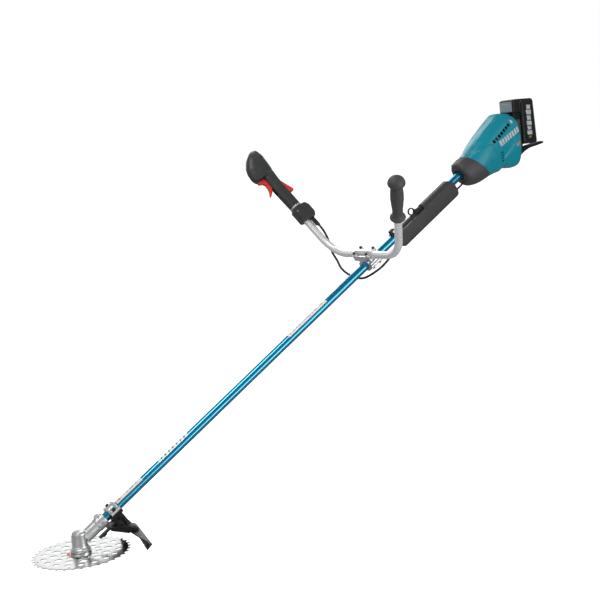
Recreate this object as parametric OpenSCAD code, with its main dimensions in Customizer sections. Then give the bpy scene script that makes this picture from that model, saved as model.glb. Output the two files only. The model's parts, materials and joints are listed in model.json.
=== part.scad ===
/* [Cutting head] */
// blade outside diameter
blade_d = 255; // [200:1:305]
// blade thickness
blade_t = 1.8; // [1.2:0.1:3]
// number of teeth on the blade rim
blade_teeth = 36; // [8:1:80]
// height above the blade at which the shaft axis meets the spindle
meet_h = 28; // [20:1:45]
// teeth on the driven bevel gear
gear_teeth = 20; // [16:1:30]
// teeth on the bevel pinion
pinion_teeth = 14; // [10:1:20]

/* [Shaft] */
// angle of the shaft above the blade plane, in degrees
tilt = 32; // [20:1:45]
// main pipe outside radius
pipe_r = 12.7; // [11:0.1:15]
// main pipe wall thickness
pipe_wall = 1.5; // [1:0.1:3]
// distance of the guard clamp from the spindle along the shaft
guard_s = 115; // [95:1:140]
// half width of the guard
guard_half = 126; // [100:1:140]
// height of the guard's plate over the blade at its two ends
guard_h = 17; // [12:0.5:24]
// radius of the guard's front edge, seen from above
guard_arc = 1150; // [300:10:2000]
// distance of the handle clamp from the spindle along the shaft
clamp_s = 1140; // [1000:5:1200]
// distance of the harness eye from the spindle along the shaft
eye_s = 1343; // [1300:1:1400]
// height of the harness eye above the shaft axis
eye_h = 24; // [22:1:30]
// radius of the hole in the harness eye
eye_r = 8; // [6:0.5:10]

/* [Handlebar] */
// handlebar outside radius
bar_r = 11.1; // [10:0.1:13]
// height of the bar above the shaft axis
bar_h = 26; // [24:1:32]
// lean of the bar towards the motor, in degrees
bar_lean = 8; // [0:1:20]
// half length of the straight middle of the bar
bar_half = 105; // [80:1:130]
// centre line radius of the bar's bends
bar_bend = 119; // [90:1:140]
// angle of each bend, in degrees
bar_turn = 57; // [40:1:80]

/* [Motor unit] */
// front face of the nose cover along the shaft
nose_s = 1554; // [1500:1:1600]
// half width of the motor housing
house_w = 51; // [44:1:60]
// battery body half width
pack_w = 39; // [34:1:45]
// battery release button half width
button_w = 27; // [18:1:30]

/* [Display] */
// node to draw, or all of them

/* [Hidden] */
$fn = 48;
ct = cos(tilt);
st = sin(tilt);
eye_y = eye_s*ct - eye_h*st;
eye_z = meet_h + eye_s*st + eye_h*ct;
pitch_p = atan(sin(90 - tilt)/(gear_teeth/pinion_teeth + cos(90 - tilt)));
pitch_g = 90 - tilt - pitch_p;
cone_r = 26;
arm_x = bar_half + bar_bend*sin(bar_turn);
arm_u = bar_bend*(1 - cos(bar_turn));
grip_a = 90 - bar_turn;
// screw positions: y and z in the arm frame, s in the shaft frame, then s and h in the shaft frame
grip_screws = [[-2, 150], [-2, 182], [-28, 275], [22, 300]];
box_screws = [1290, 1350, 1420, 1485];
nose_screws = [[1566, -26], [1566, 27]];
house_screws = [[1622, 22], [1738, 42], [1766, 12], [1660, -55], [1688, -60]];
green = [0.0, 0.45, 0.5];
dark = [0.16, 0.165, 0.17];
black = [0.05, 0.05, 0.055];
silver = [0.78, 0.79, 0.8];
steel = [0.6, 0.61, 0.62];
white = [0.9, 0.9, 0.9];
red = [0.8, 0.1, 0.08];
blue = [0.02, 0.4, 0.6];

// The head frame has its origin at the blade centre, +Z up and the motor towards +Y.
// The row frame is the same, moved so that its origin is the centre of the harness eye.
module head() {
  translate([0, -eye_y, -eye_z]) children();
}

// Shaft frame: +Y runs up the shaft, +Z is square to it, origin where the axes meet.
module shaft() {
  head() translate([0, 0, meet_h]) rotate([tilt, 0, 0]) children();
}

// Bar frame: origin at the middle of the handlebar, +Z along the plane of its bends.
module bar() {
  shaft() translate([0, clamp_s, bar_h]) rotate([-bar_lean, 0, 0]) children();
}

// Arm frame: +Z runs out along one arm of the bar, from the end of the bend.
module arm(side) {
  bar() translate([side*arm_x, 0, arm_u]) rotate([0, side*grip_a, 0]) children();
}

// A cylinder along +Y from s0 to s1.
module rod(r, s0, s1, fn = 48) {
  translate([0, s0, 0]) rotate([-90, 0, 0]) cylinder(r = r, h = s1 - s0, $fn = fn);
}

// A tube along +Y from s0 to s1.
module tube(ro, ri, s0, s1, fn = 48) {
  difference() {
    rod(ro, s0, s1, fn);
    rod(ri, s0 - 1, s1 + 1, fn);
  }
}

// A solid skinned over a list of closed rings that all have the same count of points.
module loft(rings) {
  n = len(rings);
  m = len(rings[0]);
  pts = [for (r = rings) for (p = r) p];
  sides = [for (i = [0:n - 2]) for (j = [0:m - 1])
    each [[i*m + j, i*m + (j + 1)%m, (i + 1)*m + (j + 1)%m],
          [i*m + j, (i + 1)*m + (j + 1)%m, (i + 1)*m + j]]];
  cap0 = [[for (j = [m - 1:-1:0]) j]];
  cap1 = [[for (j = [0:m - 1]) (n - 1)*m + j]];
  polyhedron(concat(pts), concat(sides, cap0, cap1), convexity = 6);
}

function pw(v, k) = v < 0 ? -pow(-v, k) : pow(v, k);
// Convert head-frame y, z to shaft-frame s, h.
function sh(y, z) = [y*ct + (z - meet_h)*st, -y*st + (z - meet_h)*ct];
// A squarish oval ring between a top and a bottom point of the middle plane.
function oval(t, b, w, k, m = 32) = [for (i = [0:m - 1])
  let (a = 360*(i + 0.5)/m, u = pw(sin(a), 2/k), v = pw(cos(a), 2/k))
  [w*v, (t[0] + b[0])/2 + u*(t[0] - b[0])/2, (t[1] + b[1])/2 + u*(t[1] - b[1])/2]];
// An oval ring square to the arm axis, centred at y = c.
function grip_ring(z, c, rx, ry, k = 2.4, m = 28) = [for (i = [0:m - 1])
  let (a = -360*(i + 0.5)/m)
  [rx*pw(cos(a), 2/k), c + ry*pw(sin(a), 2/k), z]];

// ---------------------------------------------------------------- cutting head

module blade() {
  r0 = blade_d/2 - 7;
  color(steel) head() translate([0, 0, -blade_t/2]) linear_extrude(blade_t) difference() {
    union() {
      circle(r = r0, $fn = 120);
      for (i = [0:blade_teeth - 1]) rotate(i*360/blade_teeth)
        polygon([[r0 - 1, -5.4], [blade_d/2, 1.5], [blade_d/2 - 0.4, 3.4], [r0 - 1, 5.0]]);
    }
    circle(d = 25.4);
    for (i = [0:11]) rotate(i*30) translate([46, 0]) circle(r = 7.5, $fn = 32);
    for (i = [0:11]) rotate(i*30 + 15) translate([70, 0]) circle(r = 10, $fn = 32);
    for (i = [0:17]) rotate(i*20) translate([97, 0]) circle(r = 8, $fn = 32);
    for (i = [0:5]) rotate(i*60 + 25) translate([113, 0]) circle(r = 3, $fn = 24);
  }
}

module receiver_washer() {
  color(silver) head() difference() {
    union() {
      translate([0, 0, blade_t/2]) cylinder(r = 27, h = 3.6);
      translate([0, 0, 4.5]) cylinder(r = 14, h = 2);
      translate([0, 0, -0.7]) cylinder(r = 12.65, h = 2);
    }
    translate([0, 0, -2]) cylinder(r = 5, h = 12);
  }
}

module clamp_washer() {
  color(steel) head() difference() {
    translate([0, 0, -3.9]) cylinder(r = 25, h = 3);
    translate([0, 0, -5]) cylinder(r = 5, h = 6);
    translate([0, 0, -2.1]) cylinder(r = 13.2, h = 2);
  }
}

module blade_cup() {
  color(steel) head() translate([0, 0, -13]) rotate_extrude() polygon([[5, 7], [5, 9.1], [22, 9.1],
    [21, 4], [17, 0], [14.5, 0], [14.5, 3], [17, 6.2], [12, 7]]);
}

module blade_nut() {
  color(steel) head() difference() {
    translate([0, 0, -14]) union() {
      cylinder(r = 9.8, h = 8, $fn = 6);
      translate([0, 0, 6.5]) cylinder(r = 10.8, h = 1.5);
    }
    translate([0, 0, -15]) cylinder(r = 5, h = 12);
  }
}

module spindle() {
  color(steel) head() union() {
    translate([0, 0, -17]) cylinder(r = 5, h = 24);
    translate([0, 0, 6.5]) cylinder(r = 7.5, h = 29.5);
    translate([0, 0, 36]) cylinder(r = 6, h = 16.5);
  }
}

// One bevel tooth: a wedge whose edges all run to the apex.
module tooth(pc, k0 = 0.74) {
  pts = [for (q = [k0, 1]) for (p = [[-1.5, -1.45], [1.5, -1.45], [0.62, 1.0], [-0.62, 1.0]])
    let (r = q*cone_r, n = q*p[1])
    [r*sin(pc) + n*cos(pc), q*p[0], r*cos(pc) - n*sin(pc)]];
  faces = [[0, 1, 2, 3], [7, 6, 5, 4], [0, 4, 5, 1], [1, 5, 6, 2], [2, 6, 7, 3], [3, 7, 4, 0]];
  hull() polyhedron(pts, faces);
}

// A bevel gear with its apex at the origin and its axis along +Z.
module bevel(n, pc, hub_r, hub_h) {
  zo = cone_r*cos(pc);
  ro = cone_r*sin(pc);
  k0 = 0.74;
  union() {
    rotate_extrude($fn = 64) polygon([[0, zo*k0 - 0.2], [ro*k0 - 1.1*cos(pc), zo*k0 + 1.1*sin(pc)],
      [ro - 1.3*cos(pc), zo + 1.3*sin(pc)], [ro - 2.4, zo + 2.6], [hub_r, zo + 3.2],
      [hub_r, zo + hub_h], [0, zo + hub_h]]);
    for (i = [0:n - 1]) rotate(i*360/n) tooth(pc);
  }
}

module driven_gear() {
  color(steel) head() difference() {
    translate([0, 0, meet_h]) rotate(90 + 180/gear_teeth) bevel(gear_teeth, pitch_g, 9.5, 3.5);
    translate([0, 0, 30]) cylinder(r = 6, h = 40);
  }
}

module pinion() {
  color(steel) shaft() difference() {
    union() {
      rotate([-90, 0, 0]) rotate(-90) bevel(pinion_teeth, pitch_p, 7, 6);
      rod(6, 28, 60);
    }
    rod(4, 46, 62);
  }
}

module bearing(ro, ri, h) {
  difference() {
    cylinder(r = ro, h = h);
    translate([0, 0, -1]) cylinder(r = ri, h = h + 2);
    translate([0, 0, -1]) difference() {
      cylinder(r = (ro + ri)/2 + 1.2, h = 1.8);
      cylinder(r = (ro + ri)/2 - 1.2, h = 1.8);
    }
    translate([0, 0, h - 0.8]) difference() {
      cylinder(r = (ro + ri)/2 + 1.2, h = 1.8);
      cylinder(r = (ro + ri)/2 - 1.2, h = 1.8);
    }
  }
}

module gear_case_bearings() {
  color(steel) {
    head() translate([0, 0, 10.5]) bearing(15, 7.55, 8);
    head() translate([0, 0, 26]) bearing(13, 7.55, 7);
    shaft() translate([0, 36, 0]) rotate([-90, 0, 0]) bearing(13, 6.05, 7);
    shaft() translate([0, 50, 0]) rotate([-90, 0, 0]) bearing(13, 6.05, 7);
  }
}

module gear_case() {
  color(silver) difference() {
    union() {
      head() translate([0, 0, 9]) rotate_extrude($fn = 72) polygon([[0, 0], [25, 0], [25, 3], [21.5, 6],
        [19.5, 11], [19.5, 40], [18.4, 44.5], [15.5, 48], [10, 50.3], [0, 51]]);
      shaft() rod(17.5, 16, 62, 64);
      shaft() rod(19, 60, 86, 64);
      shaft() translate([-7, 66, 8]) cube([14, 15, 15]);
      shaft() translate([16, 76, 0]) rotate([0, 90, 0]) cylinder(r = 6, h = 5);
      head() translate([-2.5, -21.5, 14]) cube([5, 6, 36]);
    }
    head() translate([0, 0, 18.5]) cylinder(r = 13, h = 15);
    head() translate([0, 0, 8]) cylinder(r = 15, h = 10.5);
    head() translate([0, 0, 33]) cylinder(r = 16.6, h = 21);
    shaft() rod(13.6, 14, 36);
    shaft() rod(13, 30, 60);
    shaft() rod(pipe_r, 60, 90, 64);
    shaft() translate([-1.2, 64, 10]) cube([2.4, 30, 20]);
    shaft() translate([-20, 73.5, 18.5]) rotate([0, 90, 0]) cylinder(r = 2.6, h = 40);
    shaft() translate([-20, 73.5, 18.5]) rotate([0, 90, 0]) cylinder(r = 4, h = 13);
    shaft() translate([15, 76, 0]) rotate([0, 90, 0]) cylinder(r = 3, h = 8);
  }
}

module case_cover() {
  color(silver) head() difference() {
    union() {
      translate([0, 0, 7]) cylinder(r = 25, h = 2);
      translate([0, 0, 6.2]) cylinder(r = 27.5, h = 1.4);
    }
    translate([0, 0, 5]) cylinder(r = 14.6, h = 6);
    for (a = [45:90:315]) rotate(a) translate([21, 0, 5]) cylinder(r = 1.7, h = 6);
  }
}

module case_screws() {
  color(steel) {
    head() for (a = [45:90:315]) rotate(a) translate([21, 0, 6.3]) cylinder(r = 1.7, h = 2.7);
    shaft() translate([-11, 73.5, 18.5]) rotate([0, 90, 0]) difference() {
      union() {
        cylinder(r = 2.6, h = 18);
        cylinder(r = 3.8, h = 4);
      }
      translate([0, 0, -1]) cylinder(r = 2, h = 3, $fn = 6);
    }
    shaft() translate([15, 76, 0]) rotate([0, 90, 0]) union() {
      cylinder(r = 3, h = 6);
      translate([0, 0, 6]) cylinder(r = 5, h = 3, $fn = 6);
    }
  }
}

// ---------------------------------------------------------------- guard

module ear_holes(x, s0, s1, r) {
  for (i = [-1, 1]) for (s = s0 == s1 ? [s0] : [s0, s1]) translate([i*x, s, -60])
    cylinder(r = r, h = 120, $fn = 24);
}

module guard_clamp_top() {
  color(silver) shaft() difference() {
    union() {
      intersection() {
        rod(17.2, guard_s - 15, guard_s + 15, 64);
        translate([-40, guard_s - 20, 0.4]) cube([80, 40, 40]);
      }
      for (i = [-1, 1]) translate([i*23 - 7, guard_s - 15, 0.4]) cube([14, 30, 7]);
      for (i = [-1, 1]) translate([-17.5, guard_s + i*11 - 3, 0.4]) cube([35, 6, 16]);
    }
    rod(pipe_r, guard_s - 20, guard_s + 20, 64);
    ear_holes(23.5, guard_s, guard_s, 3.05);
  }
}

module guard_screws() {
  color(black) head() union() {
    skirt_screws(2.5, guard_h + 13, guard_h + 26.5);
    skirt_screws(4.6, guard_h + 11.4, guard_h + 14);
  }
  color(black) shaft() for (i = [-1, 1]) translate([i*23.5, guard_s, 0]) difference() {
    union() {
      translate([0, 0, -18]) cylinder(r = 3, h = 26);
      translate([0, 0, 7.4]) cylinder(r = 5.2, h = 6);
    }
    translate([0, 0, 10]) cylinder(r = 2.5, h = 4, $fn = 6);
  }
}

// Height of the guard over the blade at lateral station x, as a share of its height at the middle.
function guard_rise(x) = pow(1 - sqrt(pow(x/guard_half, 2)*0.98 + 0.01), 1.6);
// The guard's front edge at lateral station x.
function guard_edge(x) = 157 + sqrt(guard_arc*guard_arc - x*x) - guard_arc;
// Rim section of the guard at lateral station x: a plate with a deep outer lip.
function guard_ring(x) =
  let (w = guard_rise(x), lean = 18*(sqrt(pow(x/guard_half, 2) + 0.01) - 0.1), y = guard_edge(x),
    zt = guard_h + 29*w, zb = guard_h - 13 + 7*w, yi = y - 10 - 40*w, zi = zt + 4*w - 1)
  [[x, y - 4.6 - lean, zb], [x, y - 4.2 - lean/2, (zt + zb)/2], [x, y - 7, zt - 3.6], [x, yi, zi - 3.2],
   [x, yi, zi], [x, y - 4, zt], [x, y - 1.5, zt - 1], [x, y + 0.5 - lean/2, (zt + zb)/2], [x, y - lean, zb]];
// Section of the space under the plate and in front of it, which the bracket keeps out of.
function under_ring(x) =
  let (w = guard_rise(x), y = guard_edge(x), zt = guard_h + 29*w, yi = y - 10 - 40*w, zi = zt + 4*w - 1)
  [[x, y + 20, -10], [x, yi - 0.01, -10], [x, yi - 0.01, zi], [x, y - 4, zt], [x, y + 20, zt]];

module skirt_screws(r, z0, z1) {
  for (i = [-1, 1]) translate([i*26, 130, z0]) cylinder(r = r, h = z1 - z0, $fn = 32);
}

module guard() {
  color(black) head() difference() {
    union() {
      loft([for (i = [-9:9]) guard_ring(i*guard_half/9)]);
      skirt_screws(6, guard_h + 14, guard_h + 18);
    }
    skirt_screws(2.5, guard_h + 6, guard_h + 27);
  }
}

// The lower half of the clamp, with a wedge down to the skirt and a tongue under the gear case.
module guard_bracket() {
  color(black) difference() {
    union() {
      shaft() intersection() {
        rod(19, guard_s - 17, guard_s + 17, 64);
        translate([-40, guard_s - 20, -40.4]) cube([80, 40, 40]);
      }
      shaft() translate([-30, guard_s - 17, -9.4]) cube([60, 34, 9]);
      shaft() translate([-24, guard_s - 17, -34]) cube([48, 29, 27]);
      shaft() for (i = [-1, 1]) translate([i*23.5, guard_s, -20]) cylinder(r = 6.5, h = 12);
      shaft() hull() {
        translate([-23.5, guard_s - 16, -34.5]) cube([47, 27, 4]);
        translate([-28, guard_s - 11, -50]) cube([56, 24, 3]);
      }
      head() hull() {
        translate([-34, 106, guard_h + 21]) cube([68, 4, 16]);
        translate([-24, 80, 42]) cube([48, 4, 8]);
        translate([-40, 140, guard_h + 6]) cube([80, 8, 17]);
      }
      for (i = [-1, 1]) head() hull() {
        translate([i*22 - 2, 96, 44]) cube([4, 16, 10]);
        translate([i*30 - 2, 138, guard_h + 11]) cube([4, 7, 15]);
      }
      shaft() translate([-7, 44, -33]) cube([14, 56, 5]);
      shaft() translate([-12, 90, -33.5]) cube([24, 12, 4.5]);
      shaft() translate([-2, 53, -38]) cube([4, 12, 7]);
    }
    shaft() rod(pipe_r, guard_s - 20, guard_s + 20, 64);
    shaft() ear_holes(23.5, guard_s, guard_s, 3);
    head() loft([for (i = [-4:4]) under_ring(i*14)]);
    head() skirt_screws(2.5, guard_h + 6, guard_h + 27);
  }
}

// ---------------------------------------------------------------- shaft parts

module main_pipe() {
  color(blue) shaft() tube(pipe_r, pipe_r - pipe_wall, 62, 1600, 64);
}

module drive_shaft() {
  color(steel) shaft() rod(4, 46, 1606, 32);
}

module shaft_bushes() {
  color(black) shaft() for (i = [0:5]) tube(pipe_r - pipe_wall, 4.06, 160 + i*260, 180 + i*260);
}

module wrap(s0, s1, a0, a1, t) {
  translate([0, s0, 0]) rotate([-90, 0, 0]) rotate(a0) rotate_extrude(angle = a1 - a0, $fn = 96)
    translate([pipe_r, 0]) square([t, s1 - s0]);
}

module pipe_labels() {
  color(white) shaft() {
    wrap(140, 268, 196, 300, 0.25);
    wrap(790, 925, 196, 300, 0.25);
  }
}

module handle_base() {
  color(silver) shaft() difference() {
    union() {
      intersection() {
        rod(20, clamp_s - 21, clamp_s + 21, 64);
        translate([-40, clamp_s - 30, -40.4]) cube([80, 60, 40]);
      }
      translate([-31, clamp_s - 21, -9.4]) cube([62, 42, 9]);
    }
    rod(pipe_r, clamp_s - 30, clamp_s + 30, 64);
    ear_holes(24, clamp_s - 13, clamp_s + 13, 2.6);
  }
}

module handle_holder() {
  color(silver) shaft() difference() {
    union() {
      translate([-31, clamp_s - 21, 0.4]) cube([62, 42, 7]);
      translate([-20, clamp_s - 21, 0.4]) cube([40, 42, 20]);
      translate([-42, clamp_s - 20, 15]) cube([84, 40, bar_h - 15.2]);
    }
    rod(pipe_r, clamp_s - 30, clamp_s + 30, 64);
    translate([-50, clamp_s, bar_h]) rotate([0, 90, 0]) cylinder(r = bar_r, h = 100, $fn = 64);
    ear_holes(24, clamp_s - 13, clamp_s + 13, 2.6);
    for (i = [-1, 1]) for (s = [-14.5, 14.5]) translate([i*32, clamp_s + s, 10])
      cylinder(r = 2.5, h = 30, $fn = 24);
  }
}

module handle_cap() {
  color(silver) shaft() difference() {
    union() {
      translate([-42, clamp_s - 20, bar_h + 0.2]) cube([84, 40, 6]);
      intersection() {
        translate([-42, clamp_s, bar_h]) rotate([0, 90, 0]) cylinder(r = 15.5, h = 84, $fn = 64);
        translate([-50, clamp_s - 30, bar_h + 0.2]) cube([100, 60, 40]);
      }
      for (i = [-1, 1]) for (s = [-14.5, 14.5]) translate([i*32, clamp_s + s, bar_h + 1])
        cylinder(r = 6, h = 11, $fn = 32);
    }
    translate([-50, clamp_s, bar_h]) rotate([0, 90, 0]) cylinder(r = bar_r, h = 100, $fn = 64);
    for (i = [-1, 1]) for (s = [-14.5, 14.5]) translate([i*32, clamp_s + s, 10])
      cylinder(r = 2.5, h = 60, $fn = 24);
  }
}

module socket_bolt(r, l, hr, hh) {
  difference() {
    union() {
      translate([0, 0, -l]) cylinder(r = r, h = l + 1, $fn = 24);
      cylinder(r = hr, h = hh, $fn = 32);
    }
    translate([0, 0, hh*0.45]) cylinder(r = hr*0.55, h = hh, $fn = 6);
  }
}

module handle_bolts() {
  color(black) shaft() {
    for (i = [-1, 1]) for (s = [-14.5, 14.5]) translate([i*32, clamp_s + s, bar_h + 12])
      socket_bolt(2.5, 26, 4.6, 4.6);
    for (i = [-1, 1]) for (s = [-13, 13]) translate([i*24, clamp_s + s, -9.4]) rotate([180, 0, 0])
      socket_bolt(2.6, 16, 4.4, 4);
  }
}

// ---------------------------------------------------------------- handlebar and grips

module bend(side, r) {
  translate([side*bar_half, 0, bar_bend]) rotate([90, 0, 0]) mirror([side < 0 ? 1 : 0, 0, 0])
    rotate(-90) rotate_extrude(angle = bar_turn, $fn = 96) translate([bar_bend, 0]) circle(r = r, $fn = 48);
}

module handlebar() {
  color(silver) difference() {
    union() {
      bar() translate([-bar_half, 0, 0]) rotate([0, 90, 0]) cylinder(r = bar_r, h = 2*bar_half);
      bar() bend(1, bar_r);
      bar() bend(-1, bar_r);
      arm(1) cylinder(r = bar_r, h = 202);
      arm(-1) cylinder(r = bar_r, h = 132);
      for (i = [-1, 1]) arm(i) translate([0, 0, -1]) cylinder(r = bar_r + 0.04, h = 2);
      for (i = [-1, 1]) bar() translate([i*bar_half - 1, 0, 0]) rotate([0, 90, 0])
        cylinder(r = bar_r + 0.04, h = 2);
    }
    arm(1) translate([0, 0, 10]) cylinder(r = bar_r - 2, h = 220);
    arm(-1) translate([0, 0, 10]) cylinder(r = bar_r - 2, h = 160);
  }
}

module left_grip() {
  color(dark) arm(1) difference() {
    rotate_extrude($fn = 64) polygon([[0, 77], [14, 77], [19, 78.5], [21.8, 82], [21.6, 86], [17.8, 91],
      [15, 97], [14.4, 105], [15.1, 118], [16.7, 132], [17.9, 147], [18.2, 160], [17.8, 174],
      [16.8, 186], [16.2, 194], [17, 198.5], [20.4, 200], [23.2, 202.5], [24.2, 206.5], [23.5, 211],
      [20.6, 217.5], [15, 222.5], [8.5, 226], [0, 227]]);
    translate([0, 0, 60]) cylinder(r = bar_r, h = 142);
  }
}

module throttle_body() {
  loft([grip_ring(127, 3, 16, 19), grip_ring(150, 2.5, 16, 19.5), grip_ring(178, 2, 16, 19.8),
    grip_ring(205, 2, 16.5, 20.2), grip_ring(228, 2, 17, 20.6), grip_ring(247, 2.8, 18, 21.2),
    grip_ring(257, 3.4, 18.4, 21.8), grip_ring(258.5, -9, 19.5, 34), grip_ring(266, -11, 20.5, 38.5),
    grip_ring(280, -10.5, 21.5, 40.5), grip_ring(296, -8, 22, 39.5), grip_ring(312, -4.5, 21.5, 37),
    grip_ring(325, 0, 20, 32), grip_ring(337, 4.5, 17, 25.5), grip_ring(346, 10, 13, 18),
    grip_ring(352, 13, 8, 11), grip_ring(355, 14.5, 3, 4.5)]);
}

module throttle_cut() {
  translate([0, 0, 120]) cylinder(r = bar_r, h = 12.2);
  translate([-7, -26, 189]) cube([14, 25, 68.5]);
  translate([6.9, -10, 250]) rotate([0, 90, 0]) cylinder(r = 4.2, h = 5);
  translate([-6.2, 4, 170]) cube([12.4, 24, 60]);
  translate([-12, -14, 262]) cube([24, 32, 50]);
  translate([-20, -10, 250]) rotate([0, 90, 0]) cylinder(r = 1.5, h = 40, $fn = 24);
  translate([-20, 13, 222]) rotate([0, 90, 0]) cylinder(r = 1.5, h = 40, $fn = 24);
  translate([0, 12, 325]) rotate([0, 90, 0]) cylinder(r = 7.3, h = 40);
}

module grip_inner_shell() {
  color(dark) arm(-1) difference() {
    intersection() {
      throttle_body();
      translate([0, -60, 100]) cube([60, 120, 300]);
    }
    throttle_cut();
    for (p = grip_screws) translate([-1, p[0], p[1]])
      rotate([0, 90, 0]) cylinder(r = 1.5, h = 12, $fn = 24);
  }
}

module grip_outer_shell() {
  color(dark) arm(-1) difference() {
    intersection() {
      throttle_body();
      translate([-60, -60, 100]) cube([60, 120, 300]);
    }
    throttle_cut();
    for (p = grip_screws) translate([-30, p[0], p[1]])
      rotate([0, 90, 0]) cylinder(r = 1.5, h = 31, $fn = 24);
    for (p = grip_screws) translate([-34, p[0], p[1]])
      rotate([0, 90, 0]) cylinder(r = 3.2, h = 22, $fn = 24);
  }
}

module trigger() {
  color(red) arm(-1) difference() {
    translate([6.5, 0, 0]) rotate([0, -90, 0]) linear_extrude(13) polygon([[256.2, -16], [256.2, -41],
      [252.5, -42.5], [248.5, -38], [245, -30], [238, -26.5], [226, -27], [212, -31.5], [201, -38.5],
      [197.5, -38.5], [196, -36.5], [203, -27], [210, -21], [224, -15], [244, -6], [252, -4.5], [255, -8]]);
    translate([-20, -10, 250]) rotate([0, 90, 0]) cylinder(r = 1.55, h = 40, $fn = 24);
  }
}

module trigger_pins() {
  color(steel) arm(-1) {
    translate([-16, -10, 250]) rotate([0, 90, 0]) cylinder(r = 1.5, h = 32, $fn = 24);
    translate([-14, 13, 222]) rotate([0, 90, 0]) cylinder(r = 1.5, h = 28, $fn = 24);
  }
}

module lock_lever() {
  color(red) arm(-1) difference() {
    translate([5.5, 0, 0]) rotate([0, -90, 0]) linear_extrude(11) polygon([[227, 13], [225.5, 19],
      [222, 22.5], [200, 30.5], [180, 37.5], [177.5, 37.8], [175, 35.8], [173.8, 24.5], [178, 20.5],
      [200, 15], [217, 9], [222, 8.5], [226, 10]]);
    translate([-20, 13, 222]) rotate([0, 90, 0]) cylinder(r = 1.55, h = 40, $fn = 24);
  }
}

module trigger_spring() {
  color(steel) arm(-1) for (i = [0:2]) translate([7.6 + i*1.3, -10, 250]) rotate([0, 90, 0])
    rotate_extrude() translate([3.2, 0]) circle(r = 0.5, $fn = 16);
}

module throttle_switch() {
  color(black) arm(-1) difference() {
    translate([-8, -12, 264]) cube([16, 28, 22]);
    translate([-10, -3, 262]) cube([20, 10, 4]);
  }
}

module power_button() {
  color(dark) arm(-1) translate([0, 12, 325]) rotate([0, 90, 0]) union() {
    translate([0, 0, 12]) cylinder(r = 7, h = 6);
    translate([0, 0, 18]) cylinder(r1 = 7, r2 = 6.2, h = 1.2);
  }
}

module grip_band() {
  color(silver) arm(-1) difference() {
    translate([0, 3, 121.2]) cylinder(r = 20, h = 5.6);
    translate([0, 0, 110]) cylinder(r = bar_r, h = 30);
  }
}

module cable_block() {
  color(dark) arm(-1) difference() {
    hull() {
      translate([-15, -16, 71]) cube([34, 36, 49]);
      translate([-12, -19, 76]) cube([26, 53, 38]);
      translate([-12, 0, 65]) cube([32, 28, 53]);
      translate([-10, 10, 78]) cube([24, 28, 28]);
    }
    translate([0, 0, 40]) cylinder(r = bar_r, h = 100);
    translate([16, -9, 106]) rotate([0, 90, 0]) cylinder(r = 3, h = 6);
    translate([6, 20, 58]) cylinder(r = 5, h = 20);
    translate([15, 10, 58]) cylinder(r = 3, h = 14);
  }
}

module cable_boot() {
  color(black) arm(-1) {
    translate([6, 20, 0]) difference() {
      union() {
        for (i = [0:4]) translate([0, 0, 36 + i*4.6]) cylinder(r1 = 4.8, r2 = 5.6, h = 3.4);
        translate([0, 0, 34]) cylinder(r = 4.6, h = 37);
      }
      translate([0, 0, 20]) cylinder(r = 3.6, h = 60);
    }
    translate([15, 10, 0]) union() {
      for (i = [0:4]) translate([0, 0, 37 + i*4.6]) cylinder(r1 = 3.6, r2 = 4.3, h = 3.4);
      translate([0, 0, 35]) cylinder(r = 3, h = 34);
    }
  }
}

module shell_screw(l = 9) {
  union() {
    translate([0, 0, -l]) cylinder(r = 1.5, h = l + 1, $fn = 24);
    difference() {
      cylinder(r = 3.1, h = 2.2, $fn = 24);
      translate([0, 0, 1]) cylinder(r = 1.4, h = 2, $fn = 6);
    }
  }
}

module shell_screws() {
  color(steel) {
    arm(-1) for (p = grip_screws) translate([-12, p[0], p[1]]) rotate([0, -90, 0]) shell_screw();
    arm(-1) translate([16, -9, 106]) rotate([0, 90, 0]) cylinder(r = 3, h = 2.4);
    shaft() for (s = box_screws) translate([-15, s, -31]) rotate([0, -90, 0]) shell_screw();
    shaft() for (p = house_screws) translate([-14, p[0], p[1]]) rotate([0, -90, 0]) shell_screw(26);
    shaft() for (p = nose_screws) translate([-28, p[0], p[1]]) rotate([0, -90, 0]) shell_screw();
  }
}

// ---------------------------------------------------------------- control box and hanger

module pipe_sleeve() {
  color(black) shaft() union() {
    tube(14.2, pipe_r, 1250, 1376, 64);
    difference() {
      union() {
        rod(17, 1243, 1262, 64);
        translate([-7, 1244, 10]) cube([14, 17, 16]);
      }
      rod(pipe_r, 1240, 1270, 64);
      translate([-20, 1252.5, 20.5]) rotate([0, 90, 0]) cylinder(r = 2.2, h = 40, $fn = 24);
    }
  }
}

module hanger_band() {
  color(black) shaft() difference() {
    union() {
      for (i = [0:4]) rod(18.6, 1353 + i*5, 1356 + i*5, 64);
      rod(17, 1350, 1377, 64);
      translate([-5, eye_s + 9, 12]) cube([10, 9, 10]);
    }
    rod(14.2, 1345, 1380, 64);
    translate([-2.6, 1340, 11]) cube([5.2, eye_s - 1327.5, 20]);
    translate([-25, 1340, -60]) cube([50, 50, 49]);
  }
}

module hanger_eye() {
  color(black) shaft() difference() {
    union() {
      translate([-2.5, eye_s, eye_h]) rotate([0, 90, 0]) cylinder(r = eye_r + 4, h = 5, $fn = 64);
      translate([-2.5, eye_s, 14.5]) cube([5, 10.9, 7.3]);
    }
    translate([-5, eye_s, eye_h]) rotate([0, 90, 0]) cylinder(r = eye_r, h = 10, $fn = 64);
    rod(14.2, 1320, 1400, 64);
  }
}

module hanger_bolt() {
  color(steel) shaft() translate([0, 1252.5, 20.5]) rotate([0, 90, 0]) union() {
    translate([0, 0, -9]) cylinder(r = 2.2, h = 18, $fn = 24);
    translate([0, 0, 7]) cylinder(r = 4, h = 3.4, $fn = 6);
    translate([0, 0, -10]) cylinder(r = 4, h = 3, $fn = 6);
  }
}

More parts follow.
